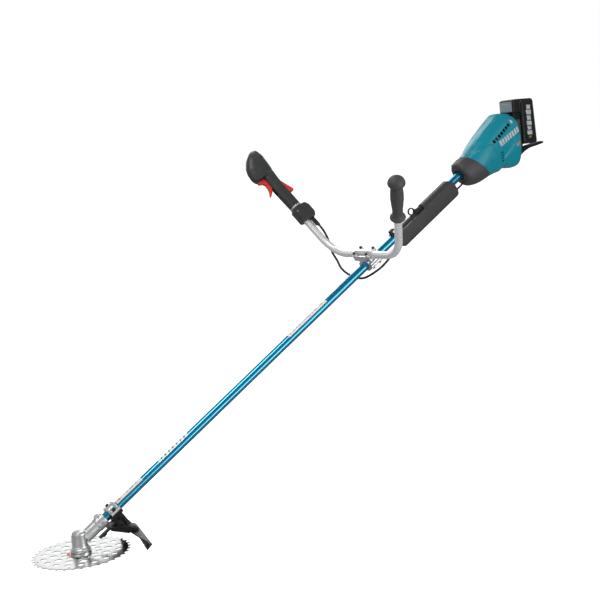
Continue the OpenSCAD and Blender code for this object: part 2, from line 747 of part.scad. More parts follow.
module box_profile() {
  union() {
    circle(r = 20.5, $fn = 64);
    translate([-20.5, -30]) square([41, 38]);
    translate([-10.5, -40]) square([21, 12]);
    for (i = [-1, 1]) translate([i*10.5, -30]) circle(r = 10, $fn = 40);
  }
}

module box_body() {
  difference() {
    intersection() {
      translate([0, 1250, 0]) rotate([-90, 0, 0]) mirror([0, 1, 0]) linear_extrude(264) box_profile();
      translate([-40, 0, 0]) rotate([90, 0, 90]) linear_extrude(80) polygon([[1252, 3], [1258, 8],
        [1378, 8], [1382, 20.5], [1490, 20.5], [1500, 17], [1507, 9], [1510, -2], [1510, -24],
        [1505, -34], [1497, -40], [1262, -40], [1252, -34]]);
    }
    rod(pipe_r, 1240, 1520, 64);
    rod(14.25, 1240, 1378, 64);
    rod(17.1, 1240, 1262.3, 64);
    rod(18.8, 1349, 1378.5, 64);
    for (i = [-1, 1]) translate([i*19.8 - 2, 1377, 8]) cube([4, 118, 3]);
    translate([-17, 1262, -36.5]) cube([34, 236, 21]);
    translate([0, 1240, -28]) rotate([-90, 0, 0]) cylinder(r = 3.6, h = 30, $fn = 24);
    translate([0, 1490, -28]) rotate([-90, 0, 0]) cylinder(r = 3, h = 30, $fn = 24);
  }
}

module box_left() {
  color(dark) shaft() intersection() {
    box_body();
    translate([0, 1240, -60]) cube([60, 300, 100]);
  }
}

module box_right() {
  color(dark) shaft() difference() {
    intersection() {
      box_body();
      translate([-60, 1240, -60]) cube([60, 300, 100]);
    }
    for (s = box_screws) translate([-40, s, -31]) rotate([0, 90, 0])
      cylinder(r = 3.2, h = 25, $fn = 24);
    for (s = box_screws) translate([-40, s, -31]) rotate([0, 90, 0])
      cylinder(r = 1.6, h = 36, $fn = 24);
  }
}

// ---------------------------------------------------------------- cables

function vunit(v) = v/norm(v);
// Points of a smooth curve through the given points, q steps per span.
function spline(p, q) = [for (i = [0:len(p) - 2]) for (j = [0:q - 1])
  let (t = j/q, a = p[max(i - 1, 0)], b = p[i], c = p[i + 1], d = p[min(i + 2, len(p) - 1)])
  0.5*(2*b + (c - a)*t + (2*a - 5*b + 4*c - d)*t*t + (3*b - a - 3*c + d)*t*t*t)];
// One ring of m points round the path at point i.
function hoop(p, i, r, m) =
  let (n = len(p), d = vunit(p[min(i + 1, n - 1)] - p[max(i - 1, 0)]),
    u = vunit(cross(d, [0.3, 0.1, 1])), v = cross(d, u))
  [for (j = [0:m - 1]) p[i] + r*(cos(-360*j/m)*u + sin(-360*j/m)*v)];
module cord(p, r, m = 8) {
  loft([for (i = [0:len(p) - 1]) hoop(p, i, r, m)]);
}
// The boot's mouth and the direction in which the cable leaves it, in the shaft frame.
function arm_pt(x, y, z) =
  let (bx = -arm_x + x*cos(grip_a) - z*sin(grip_a), bu = arm_u + x*sin(grip_a) + z*cos(grip_a))
  [bx, clamp_s + y*cos(bar_lean) + bu*sin(bar_lean), bar_h - y*sin(bar_lean) + bu*cos(bar_lean)];

cable_route = [arm_pt(6, 20, 70), arm_pt(6, 20, 48), arm_pt(6, 20, 33), arm_pt(6, 20, 29),
  [-216, 1172, 80], [-205, 1162, 54], [-189, 1143, 26], [-165, 1130, 5], [-140, 1115, -10], [-110, 1106, -21],
  [-80, 1102, -29], [-50, 1100, -34], [-20, 1103, -34], [4, 1113, -30], [18, 1129, -28],
  [24, 1148, -27.5], [24, 1170, -26.5], [18, 1200, -26], [9, 1228, -27], [0, 1246, -28], [0, 1256, -28]];

module control_cable() {
  p = concat(spline(cable_route, 4), [cable_route[len(cable_route) - 1]]);
  color(black) shaft() cord(p, 3.5);
}

module motor_cable() {
  p = [[0, 1500, -28], [0, 1512, -28], [0, 1522, -28.5], [0, 1535, -28.5], [0, 1545, -28], [0, 1556, -28]];
  color(black) shaft() cord(concat(spline(p, 3), [p[5]]), 3);
}

// ---------------------------------------------------------------- motor unit

r0_t = [1596, 36];
r0_b = [1632, -66];
module house_outer() {
  loft([oval(r0_t, r0_b, 47, 2.2), oval([1638, 48.5], [1655, -72.5], house_w - 0.5, 2.3),
    oval([1687, 58], [1672, -77.5], house_w + 1, 2.5), oval([1735.5, 65], sh(1466, 860), house_w + 1, 2.7),
    oval(sh(1466, 1023.5), sh(1484, 857), house_w, 3),
    oval(sh(1493.5, 1024), sh(1501, 855), house_w - 0.5, 3.3),
    oval(sh(1513, 1020), sh(1516, 857), house_w - 1.5, 3.6),
    oval(sh(1526, 1010), sh(1526, 862), house_w - 4, 3.8),
    oval(sh(1533.5, 999), sh(1533, 872), house_w - 9, 4)]);
}

module house_inner() {
  loft([oval([1600, 30], [1634, -58], 43.5, 2.2), oval([1642, 39], [1655, -66], house_w - 4, 2.3),
    oval([1690, 47], [1672, -72], house_w - 2.5, 2.5), oval([1736, 55], sh(1466, 864), house_w - 2.5, 2.7),
    oval(sh(1468, 1014), sh(1482, 861), house_w - 3.5, 3),
    oval(sh(1490, 1017), sh(1497, 859), house_w - 4, 3.3),
    oval(sh(1506, 1014), sh(1506, 862), house_w - 6, 3.6)]);
}

module house_boss(x0, x1) {
  for (p = house_screws) translate([x0, p[0], p[1]]) rotate([0, 90, 0]) cylinder(r = 5.2, h = x1 - x0);
}

module bearing_plates() {
  translate([-60, 1634, -80]) cube([120, 4, 150]);
  translate([-60, 1731, -18]) cube([120, 4, 100]);
}

module bay_cut() {
  head() translate([-31, 1511.5, 912]) cube([62, 60, 130]);
}

module vent_cuts(side) {
  x = side > 0 ? 36 : -66;
  for (i = [0:6]) translate([x, 1687 + i*12.6, 15 + i*1.2]) rotate([14, 0, 0]) cube([30, 9, 7.4]);
  for (i = [0:3]) translate([x, 1694 - i*3.4, -34 - i*7]) rotate([-20, 0, 0]) cube([30, 10, 4]);
}

module house_half(side) {
  difference() {
    intersection() {
      union() {
        difference() {
          shaft() house_outer();
          shaft() house_inner();
        }
        intersection() {
          shaft() house_outer();
          shaft() union() {
            house_boss(-60, 60);
            bearing_plates();
          }
        }
      }
      shaft() translate([side > 0 ? 0 : -80, 1500, -200]) cube([80, 500, 400]);
    }
    bay_cut();
    shaft() vent_cuts(side);
    shaft() rod(24, 1590, 1625);
    shaft() rod(11, 1630, 1740);
    head() translate([-12.2, 1522.8, 865]) cube([24.4, 40, 32.2]);
  }
}

module housing_left() {
  color(green) difference() {
    house_half(1);
    shaft() for (p = house_screws) translate([-2, p[0], p[1]]) rotate([0, 90, 0])
      cylinder(r = 1.5, h = 16, $fn = 24);
  }
}

module housing_right() {
  color(green) difference() {
    house_half(-1);
    shaft() for (p = house_screws) translate([-80, p[0], p[1]]) rotate([0, 90, 0])
      cylinder(r = 3.4, h = 66, $fn = 24);
    shaft() for (p = house_screws) translate([-80, p[0], p[1]]) rotate([0, 90, 0])
      cylinder(r = 1.6, h = 90, $fn = 24);
  }
}

module nose_cover() {
  color(dark) shaft() difference() {
    loft([oval([nose_s, 32], [nose_s - 2, -32], 31, 2.2), oval([nose_s + 4, 36], [nose_s, -38], 35, 2.2),
      oval([nose_s + 14, 38.5], [nose_s + 9, -48], 40, 2.2), oval([1582, 38.5], [1592, -59.5], 44.5, 2.2),
      oval([r0_t[0] - 0.2, r0_t[1]], [r0_b[0] - 0.4, r0_b[1]], 47, 2.2)]);
    rod(19.5, 1540, 1575, 64);
    rod(16, 1570, 1640);
    loft([oval([1578, 31], [1580, -38], 37, 2.2), oval([1592, 31], [1604, -50], 41, 2.2),
      oval([1606, 31], [1640, -56], 43.5, 2.2)]);
    translate([0, 1555, -28]) rotate([-90, 0, 0]) cylinder(r = 16, h = 1);
    translate([0, 1540, -28]) rotate([-90, 0, 0]) cylinder(r = 3, h = 40, $fn = 24);
    for (p = nose_screws) translate([-80, p[0], p[1]]) rotate([0, 90, 0])
      cylinder(r = 3.2, h = 52, $fn = 24);
    for (p = nose_screws) translate([-60, p[0], p[1]]) rotate([0, 90, 0])
      cylinder(r = 1.6, h = 43, $fn = 24);
  }
}

module pipe_damper() {
  color(black) shaft() difference() {
    union() {
      rod(19.5, nose_s - 1, 1575, 64);
      rod(16, 1575, 1598, 64);
    }
    rod(pipe_r, 1540, 1600, 64);
    rod(17.5, 1540, nose_s + 2, 64);
  }
}

module stator() {
  color(steel) shaft() union() {
    difference() {
      rod(37, 1652, 1690, 64);
      rod(20.6, 1650, 1692, 64);
    }
    for (i = [0:5]) rotate([0, i*60, 0]) for (s = [1647, 1690]) translate([23, s, -7]) cube([11, 5, 14]);
  }
}

module rotor() {
  color(steel) shaft() union() {
    rod(20, 1653, 1689, 64);
    rod(4, 1630, 1742);
    rod(9, 1703, 1719);
    rod(36, 1716, 1718, 64);
    for (i = [0:10]) rotate([0, i*360/11, 0]) translate([8, 1704, -0.8]) cube([27, 12.5, 1.6]);
  }
}

module motor_bearings() {
  color(steel) shaft() {
    translate([0, 1634, 0]) rotate([-90, 0, 0]) bearing(11, 4.05, 7);
    translate([0, 1730, 0]) rotate([-90, 0, 0]) bearing(11, 4.05, 7);
  }
}

module shaft_coupling() {
  color(steel) shaft() difference() {
    rod(8, 1601, 1631);
    rod(4, 1600, 1606);
    rod(4, 1630, 1632);
  }
}

module controller() {
  color(silver) head() union() {
    translate([-30, 1484, 880]) cube([60, 20, 50]);
    for (i = [0:7]) translate([-28 + i*7.6, 1480, 882]) cube([2, 5, 46]);
  }
}

module battery_mount() {
  color(black) head() union() {
    translate([-30.6, 1511.7, 912.3]) cube([61.2, 9.6, 98]);
    for (i = [-1, 1]) translate([i*28.6 - 2.2, 1520, 916]) cube([4.4, 26, 86]);
    for (i = [-1, 1]) translate([i*26 - 4.6, 1530.5, 920]) cube([9.2, 3.6, 80]);
    for (i = [-2, -1, 1, 2]) translate([i*8 - 0.5, 1521, 930]) cube([1, 7, 22]);
    translate([-30.6, 1520, 912.3]) cube([61.2, 26, 5]);
  }
}

module battery_case() {
  color(black) head() difference() {
    union() {
      hull() {
        for (x = [9 - pack_w, pack_w - 9]) for (y = [1556.6, 1597]) translate([x, y, 934])
          sphere(r = 9, $fn = 28);
        for (x = [10 - pack_w, pack_w - 10]) for (y = [1557.6, 1590]) translate([x, y, 1055])
          sphere(r = 10, $fn = 28);
        for (x = [5 - pack_w, pack_w - 5]) translate([x, 1553, 940]) cylinder(r = 5, h = 112, $fn = 24);
      }
      translate([-25.4, 1523, 919]) cube([50.8, 32, 116]);
      hull() {
        for (x = [-1, 1]) translate([x*28, 1524, 1023]) cylinder(r = 5, h = 38, $fn = 24);
        translate([-31, 1530, 1023]) cube([62, 26, 42]);
      }
    }
    for (i = [-1, 1]) translate([i*25.4 - 5, 1529.9, 910]) cube([10, 4.8, 94]);
    for (i = [-2, -1, 1, 2]) translate([i*8 - 1, 1520, 910]) cube([2, 9, 60]);
    translate([-button_w - 0.6, 1510, 1026.4]) cube([2*button_w + 1.2, 17.9, 32.2]);
  }
}

module battery_button() {
  color([0.62, 0.66, 0.68]) head() union() {
    translate([-button_w, 1516.8, 1027]) cube([2*button_w, 7, 31]);
    for (i = [0:5]) translate([-18, 1516.2, 1032 + i*3.6]) cube([36, 1, 1.6]);
  }
}

module rear_stand() {
  color(black) head() difference() {
    translate([-12, 0, 0]) rotate([90, 0, 90]) linear_extrude(24) polygon([[1523.4, 880], [1536, 883],
      [1543, 893], [1550, 900.5], [1557, 906], [1566, 911.5], [1575, 915.5], [1585, 918.6], [1596, 921.2],
      [1608, 923], [1622, 925.2], [1637, 928], [1648, 928.6], [1652.5, 926.5], [1652.8, 923.5],
      [1649, 921.3], [1640, 919.4], [1620, 915.4], [1598, 911.8], [1588, 908.5], [1577, 904], [1568, 899],
      [1560, 893.4], [1553, 887.4], [1546, 881.2], [1540, 877], [1534, 875], [1523.4, 875]]);
    translate([-6, 1582, 880]) cube([12, 36, 60]);
  }
}

blade();
receiver_washer();
clamp_washer();
blade_cup();
blade_nut();
spindle();
driven_gear();
pinion();
gear_case_bearings();
gear_case();
case_cover();
case_screws();
guard_clamp_top();
guard_bracket();
guard_screws();
guard();
main_pipe();
drive_shaft();
shaft_bushes();
pipe_labels();
handle_base();
handle_holder();
handle_cap();
handle_bolts();
handlebar();
left_grip();
grip_inner_shell();
grip_outer_shell();
trigger();
trigger_pins();
lock_lever();
trigger_spring();
throttle_switch();
power_button();
grip_band();
cable_block();
cable_boot();
control_cable();
pipe_sleeve();
hanger_band();
hanger_eye();
hanger_bolt();
box_left();
box_right();
shell_screws();
motor_cable();
nose_cover();
pipe_damper();
housing_left();
housing_right();
stator();
rotor();
motor_bearings();
shaft_coupling();
controller();
battery_mount();
battery_case();
battery_button();
rear_stand();
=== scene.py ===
import json
import math
import bmesh
import bpy
from mathutils import Matrix, Vector
from mathutils.bvhtree import BVHTree


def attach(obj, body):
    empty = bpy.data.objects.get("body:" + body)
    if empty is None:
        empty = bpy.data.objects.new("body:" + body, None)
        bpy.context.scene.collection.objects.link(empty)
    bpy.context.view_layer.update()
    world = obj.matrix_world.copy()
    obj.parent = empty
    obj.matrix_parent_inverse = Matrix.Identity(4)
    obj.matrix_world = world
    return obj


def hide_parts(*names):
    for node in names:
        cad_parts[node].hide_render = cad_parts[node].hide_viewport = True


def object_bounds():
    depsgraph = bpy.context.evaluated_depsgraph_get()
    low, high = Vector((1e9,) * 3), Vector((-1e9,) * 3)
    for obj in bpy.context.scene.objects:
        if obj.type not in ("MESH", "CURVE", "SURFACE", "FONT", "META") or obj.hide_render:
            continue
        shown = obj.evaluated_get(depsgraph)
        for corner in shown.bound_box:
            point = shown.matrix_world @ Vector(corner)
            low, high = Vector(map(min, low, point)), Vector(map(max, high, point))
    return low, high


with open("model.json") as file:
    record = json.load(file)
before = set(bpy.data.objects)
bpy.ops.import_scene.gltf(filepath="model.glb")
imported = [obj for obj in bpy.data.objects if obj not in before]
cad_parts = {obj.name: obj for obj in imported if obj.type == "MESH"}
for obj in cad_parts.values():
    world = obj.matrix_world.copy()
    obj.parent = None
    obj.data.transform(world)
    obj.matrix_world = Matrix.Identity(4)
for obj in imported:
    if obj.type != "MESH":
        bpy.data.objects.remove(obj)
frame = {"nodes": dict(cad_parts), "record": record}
cad_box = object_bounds()
nodes = frame["nodes"]

# ---------------------------------------------------------------- frames
# Lengths are in millimetres in one of the frames below, unless a comment says metres. The head frame
# has Z up the spindle, and the shaft frame has s up the pipe, as its Y, and h square to it, as its Z.
MM = Matrix.Scale(0.001, 4)
TILT = math.radians(32)  # slope of the pipe
LEAN = math.radians(8)  # lean of the handlebar's plane from square to the pipe
TURN = math.radians(57)  # turn of each of the handlebar's bends
MEET_H = 28  # height at which the pipe's axis meets the spindle's
EYE_S, EYE_H = 1343, 24  # the harness eye, the origin of the whole model
CLAMP_S, BAR_H = 1140, 26  # middle of the handlebar
BAR_HALF, BAR_BEND = 105, 119  # half its straight part, and the radius of its bends
PIPE_R = 12.7
ARM_X = BAR_HALF + BAR_BEND * math.sin(TURN)
ARM_U = BAR_BEND * (1 - math.cos(TURN))
EYE_Y = EYE_S * math.cos(TILT) - EYE_H * math.sin(TILT)
EYE_Z = MEET_H + EYE_S * math.sin(TILT) + EYE_H * math.cos(TILT)


def metres(length):
    return length / 1000


def shift(x, y, z):
    return Matrix.Translation((x, y, z))


def turn(angle, axis):
    return Matrix.Rotation(angle, 4, axis)


HEAD = MM @ shift(0, -EYE_Y, -EYE_Z)
SHAFT = HEAD @ shift(0, 0, MEET_H) @ turn(TILT, "X")
BAR = SHAFT @ shift(0, CLAMP_S, BAR_H) @ turn(-LEAN, "X")


def arm(side):
    """Frame of one arm of the handlebar: +Z runs out along the arm from the end of the bend."""
    return BAR @ shift(side * ARM_X, 0, ARM_U) @ turn(side * (math.pi / 2 - TURN), "Y")


def to_shaft(y, z):
    """Head-frame y, z as shaft-frame s, h."""
    c, s = math.cos(TILT), math.sin(TILT)
    return y * c + (z - MEET_H) * s, (z - MEET_H) * c - y * s


# ---------------------------------------------------------------- camera, light, floor
CAMERA_AZIMUTH, CAMERA_LIFT, CAMERA_ROLL = math.radians(60.28), math.radians(7.14), math.radians(-5.53)
CAMERA_PLACE = (2.8305, -2.0233, 0.2020)  # metres
CAMERA_LENS, CAMERA_SENSOR = 69.8, 36


def add_camera():
    az, el, roll = CAMERA_AZIMUTH, CAMERA_LIFT, CAMERA_ROLL
    back = Vector((math.sin(az) * math.cos(el), -math.cos(az) * math.cos(el), math.sin(el)))
    level = Vector((0, 0, 1)).cross(back).normalized()
    top = back.cross(level)
    right = math.cos(roll) * level + math.sin(roll) * top
    up = math.cos(roll) * top - math.sin(roll) * level
    camera = bpy.data.objects.new("camera", bpy.data.cameras.new("camera"))
    camera.data.lens = CAMERA_LENS
    camera.data.sensor_width = CAMERA_SENSOR
    pose = Matrix((right, up, back)).transposed().to_4x4()
    pose.translation = CAMERA_PLACE
    camera.matrix_world = pose
    bpy.context.scene.collection.objects.link(camera)
    bpy.context.scene.camera = camera


UPRIGHT = (0, 0, 1)
PIPE_WAY = (0, math.cos(TILT), math.sin(TILT))
# name, size in metres, watts, place and aim in metres, direction of the second size
LAMPS = (
    ("key", (1.2, 1.2), 30, (0.2, -1.6, 2.3), (0, -0.3, -0.1), UPRIGHT),
    ("fill", (1.6, 1.0), 6, (2.6, 0.9, 1.0), (0, -0.2, 0), UPRIGHT),
    ("rim", (0.8, 2.0), 22, (-1.8, 0.2, 1.8), (0, 0.1, 0.1), UPRIGHT),
    ("front", (1.6, 0.5), 4, (1.2, -2.8, 0.2), (0, -0.9, -0.6), UPRIGHT),
    ("back", (2.6, 1.3), 5, (-2.5, -0.35, 0.15), (0, -1.13, -0.76), UPRIGHT),
    ("streak", (0.7, 2.0), 20, (2.15, 0.2, -0.36), (0, -0.55, -0.3), PIPE_WAY),
)


def add_lamp(name, size, power, place, aim, along):
    """A soft square lamp that the camera doesn't see."""
    data = bpy.data.lights.new(name, "AREA")
    data.shape = "RECTANGLE"
    data.size, data.size_y = size
    data.energy = power
    item = bpy.data.objects.new(name, data)
    item.visible_camera = False
    item.location = place
    ahead = (Vector(aim) - Vector(place)).normalized()
    side = ahead.cross(Vector(along)).normalized()
    item.rotation_euler = Matrix((side, side.cross(ahead), -ahead)).transposed().to_euler()
    bpy.context.scene.collection.objects.link(item)


# the sweep that reflections see, from straight down at 0 to straight up at 1: (place, colour)
SWEEP_ENDS = ((0.0, (0.5, 0.5, 0.51, 1)), (1.0, (0.4, 0.4, 0.41, 1)))
SWEEP_GREYS = ((0.42, 0.65), (0.48, 0.2), (0.515, 0.3), (0.55, 0.92), (0.7, 1.0), (0.82, 0.45))
SWEEP_STRENGTH = 0.62


def add_world():
    """White studio: white to the camera, and a soft light-to-grey sweep for reflections."""
    world = bpy.data.worlds.new("studio")
    bpy.context.scene.world = world
    world.use_nodes = True
    tree = world.node_tree
    tree.nodes.clear()
    out = tree.nodes.new("ShaderNodeOutputWorld")
    mix = tree.nodes.new("ShaderNodeMixShader")
    ray = tree.nodes.new("ShaderNodeLightPath")
    plain = tree.nodes.new("ShaderNodeBackground")
    plain.inputs["Color"].default_value = (1, 1, 1, 1)
    plain.inputs["Strength"].default_value = 1.0
    soft = tree.nodes.new("ShaderNodeBackground")
    soft.inputs["Strength"].default_value = SWEEP_STRENGTH
    coords = tree.nodes.new("ShaderNodeTexCoord")
    axes = tree.nodes.new("ShaderNodeSeparateXYZ")
    ramp = tree.nodes.new("ShaderNodeValToRGB")
    stops = ramp.color_ramp.elements
    for stop, (place, colour) in zip(stops, SWEEP_ENDS):
        stop.position = place
        stop.color = colour
    for place, grey in SWEEP_GREYS:
        stop = stops.new(place)
        stop.color = (grey, grey, grey, 1)
    scale = tree.nodes.new("ShaderNodeMapRange")
    scale.inputs["From Min"].default_value = -1
    link = tree.links.new
    link(coords.outputs["Generated"], axes.inputs[0])
    link(axes.outputs["Z"], scale.inputs["Value"])
    link(scale.outputs["Result"], ramp.inputs["Fac"])
    link(ramp.outputs["Color"], soft.inputs["Color"])
    link(ray.outputs["Is Camera Ray"], mix.inputs["Fac"])
    link(soft.outputs[0], mix.inputs[1])
    link(plain.outputs[0], mix.inputs[2])
    link(mix.outputs[0], out.inputs["Surface"])


FLOOR_REACH = 80  # metres, far enough that its edge is past the horizon
FLOOR_GAP = 0.001  # metres below the object
FLOOR_TONE, FLOOR_GLOW = (0.8, 0.8, 0.8, 1), 1.0
DIM_FLOOR_TONE = (0.42, 0.42, 0.43, 1)


def add_floor():
    """A white floor to the camera that throws little light up, as a studio with dark cards below."""
    ground = bmesh.new()
    low = cad_box[0][2] - FLOOR_GAP
    for x, y in ((-1, -1), (1, -1), (1, 1), (-1, 1)):
        ground.verts.new((x * FLOOR_REACH, y * FLOOR_REACH, low))
    ground.faces.new(ground.verts)
    mesh = bpy.data.meshes.new("floor")
    ground.to_mesh(mesh)
    ground.free()
    floor = bpy.data.objects.new("floor", mesh)
    bpy.context.scene.collection.objects.link(floor)
    paper = bpy.data.materials.new("paper")
    paper.use_nodes = True
    tree = paper.node_tree
    skin = tree.nodes["Principled BSDF"]
    skin.inputs["Base Color"].default_value = FLOOR_TONE
    skin.inputs["Emission Color"].default_value = (1, 1, 1, 1)
    skin.inputs["Emission Strength"].default_value = FLOOR_GLOW
    skin.inputs["Roughness"].default_value = 0.9
    skin.inputs["Specular IOR Level"].default_value = 0.1
    dim = tree.nodes.new("ShaderNodeBsdfDiffuse")
    dim.inputs["Color"].default_value = DIM_FLOOR_TONE
    ray = tree.nodes.new("ShaderNodeLightPath")
    mix = tree.nodes.new("ShaderNodeMixShader")
    tree.links.new(ray.outputs["Is Camera Ray"], mix.inputs["Fac"])
    tree.links.new(dim.outputs[0], mix.inputs[1])
    tree.links.new(skin.outputs[0], mix.inputs[2])
    tree.links.new(mix.outputs[0], tree.nodes["Material Output"].inputs["Surface"])
    mesh.materials.append(paper)


add_camera()
add_world()
for lamp in LAMPS:
    add_lamp(*lamp)
add_floor()
bpy.context.scene.view_settings.view_transform = "Standard"


# ---------------------------------------------------------------- materials
def new_material(name):
    found = bpy.data.materials.new(name)
    found.use_nodes = True
    tree = found.node_tree
    return found, tree, tree.nodes["Principled BSDF"]


NOISE_ROUGH = 0.55
# pointiness range of the painted highlight that pales convex edges of mouldings
EDGE_POINTINESS = (0.53, 0.62)  # where a convex edge starts to pale, and is palest
DRIFT_SCALE = 9  # per metre, the slow drift of a moulding's colour
SMUDGE_SCALE = 60  # per metre, the change in a moulding's gloss
METAL_DRIFT_SCALE = 14
METAL_TINT = 0.06
METAL_COAT_ROUGH = 0.08


def noise(tree, scale, detail=3.0, vector=None):
    node = tree.nodes.new("ShaderNodeTexNoise")
    node.inputs["Scale"].default_value = scale
    node.inputs["Detail"].default_value = detail
    node.inputs["Roughness"].default_value = NOISE_ROUGH
    if vector is None:
        vector = tree.nodes.new("ShaderNodeTexCoord").outputs["Object"]
    tree.links.new(vector, node.inputs["Vector"])
    return node.outputs["Fac"]


def ranged(tree, value, low, high, start=0.3, end=0.7):
    """A value that runs from start to end, taken to the range from low to high."""
    node = tree.nodes.new("ShaderNodeMapRange")
    node.inputs["From Min"].default_value = start
    node.inputs["From Max"].default_value = end
    node.inputs["To Min"].default_value = low
    node.inputs["To Max"].default_value = high
    tree.links.new(value, node.inputs["Value"])
    return node.outputs["Result"]


def blended(tree, fac, first, second):
    node = tree.nodes.new("ShaderNodeMix")
    node.data_type = "RGBA"
    tree.links.new(fac, node.inputs["Factor"])
    for socket, colour in ((node.inputs["A"], first), (node.inputs["B"], second)):
        if isinstance(colour, tuple):
            socket.default_value = (*colour[:3], 1)
        else:
            tree.links.new(colour, socket)
    return node.outputs["Result"]


def bumped(tree, skin, height, distance):
    node = tree.nodes.new("ShaderNodeBump")
    node.inputs["Distance"].default_value = distance
    tree.links.new(height, node.inputs["Height"])
    tree.links.new(node.outputs["Normal"], skin.inputs["Normal"])


def painted_edge_highlight(tree, colour, amount):
    """A painted highlight: convex edges are painted paler, from the mesh's own pointiness."""
    shape = tree.nodes.new("ShaderNodeNewGeometry")
    edge = ranged(tree, shape.outputs["Pointiness"], 0, amount, *EDGE_POINTINESS)
    pale = tuple(min(1, c * 1.6 + 0.09) for c in colour)
    return edge, pale


def drifting(tree, scale, colour, tint):
    """A colour that drifts slowly between a darker and a paler one."""
    darker = tuple(c * (1 - tint) for c in colour)
    paler = tuple(min(1, c * (1 + tint)) for c in colour)
    return blended(tree, ranged(tree, noise(tree, scale, 4), 0, 1), darker, paler)


def moulded(name, colour, rough=0.45, grain=900, depth=0.00006, tint=0.12, edge_highlight=0.5, gloss=0.5):
    """Moulded plastic or rubber: fine spark texture, slow colour drift, and convex edges painted paler as
    a painted highlight.
    """
    found, tree, skin = new_material(name)
    base = drifting(tree, DRIFT_SCALE, colour, tint)
    edge, pale = painted_edge_highlight(tree, colour, edge_highlight)
    tree.links.new(blended(tree, edge, base, pale), skin.inputs["Base Color"])
    smudge = ranged(tree, noise(tree, SMUDGE_SCALE, 5), rough - 0.07, rough + 0.08)
    tree.links.new(smudge, skin.inputs["Roughness"])
    skin.inputs["Specular IOR Level"].default_value = gloss
    bumped(tree, skin, noise(tree, grain, 2), depth)
    return found


def metal(name, colour, rough=0.3, grain=500, depth=0.00003, stretch=None, coat=0.0, metallic=1.0):
    """Bare, painted or anodised metal. stretch is a turn and a ratio that draw the grain out along Y."""
    found, tree, skin = new_material(name)
    vector = None
    if stretch:
        turned_by, ratio = stretch
        place = tree.nodes.new("ShaderNodeMapping")
        place.inputs["Rotation"].default_value = turned_by
        place.inputs["Scale"].default_value = (1, ratio, 1)
        tree.links.new(tree.nodes.new("ShaderNodeTexCoord").outputs["Object"], place.inputs["Vector"])
        vector = place.outputs["Vector"]
    tree.links.new(drifting(tree, METAL_DRIFT_SCALE, colour, METAL_TINT), skin.inputs["Base Color"])
    sheen = ranged(tree, noise(tree, grain, 3, vector=vector), rough - 0.06, rough + 0.08)
    tree.links.new(sheen, skin.inputs["Roughness"])
    skin.inputs["Metallic"].default_value = metallic
    skin.inputs["Coat Weight"].default_value = coat
    skin.inputs["Coat Roughness"].default_value = METAL_COAT_ROUGH
    bumped(tree, skin, noise(tree, grain, 3, vector=vector), depth)
    return found


BLADE_RIM = (0.112, 0.127)  # metres from the spindle, where the disc darkens
BLADE_RING_SCALE = 1400


def blade_metal():
    """Ground disc: fine arcs round the centre and a slight darkening towards the teeth."""
    found, tree, skin = new_material("blade_steel")
    coords = tree.nodes.new("ShaderNodeTexCoord").outputs["Object"]
    place = tree.nodes.new("ShaderNodeVectorMath")
    place.operation = "SUBTRACT"
    place.inputs[1].default_value = (0, -metres(EYE_Y), -metres(EYE_Z))
    tree.links.new(coords, place.inputs[0])
    reach = tree.nodes.new("ShaderNodeVectorMath")
    reach.operation = "LENGTH"
    tree.links.new(place.outputs[0], reach.inputs[0])
    rings = tree.nodes.new("ShaderNodeTexNoise")
    rings.noise_dimensions = "1D"
    rings.inputs["Scale"].default_value = BLADE_RING_SCALE
    rings.inputs["Detail"].default_value = 3
    tree.links.new(reach.outputs["Value"], rings.inputs["W"])
    rim = ranged(tree, reach.outputs["Value"], 0, 1, *BLADE_RIM)
    drift = blended(tree, rings.outputs["Fac"], (0.72, 0.73, 0.73), (0.84, 0.85, 0.85))
    tree.links.new(blended(tree, rim, drift, (0.56, 0.57, 0.58)), skin.inputs["Base Color"])
    tree.links.new(ranged(tree, rings.outputs["Fac"], 0.13, 0.24), skin.inputs["Roughness"])
    skin.inputs["Metallic"].default_value = 1
    bumped(tree, skin, rings.outputs["Fac"], 0.00001)
    return found


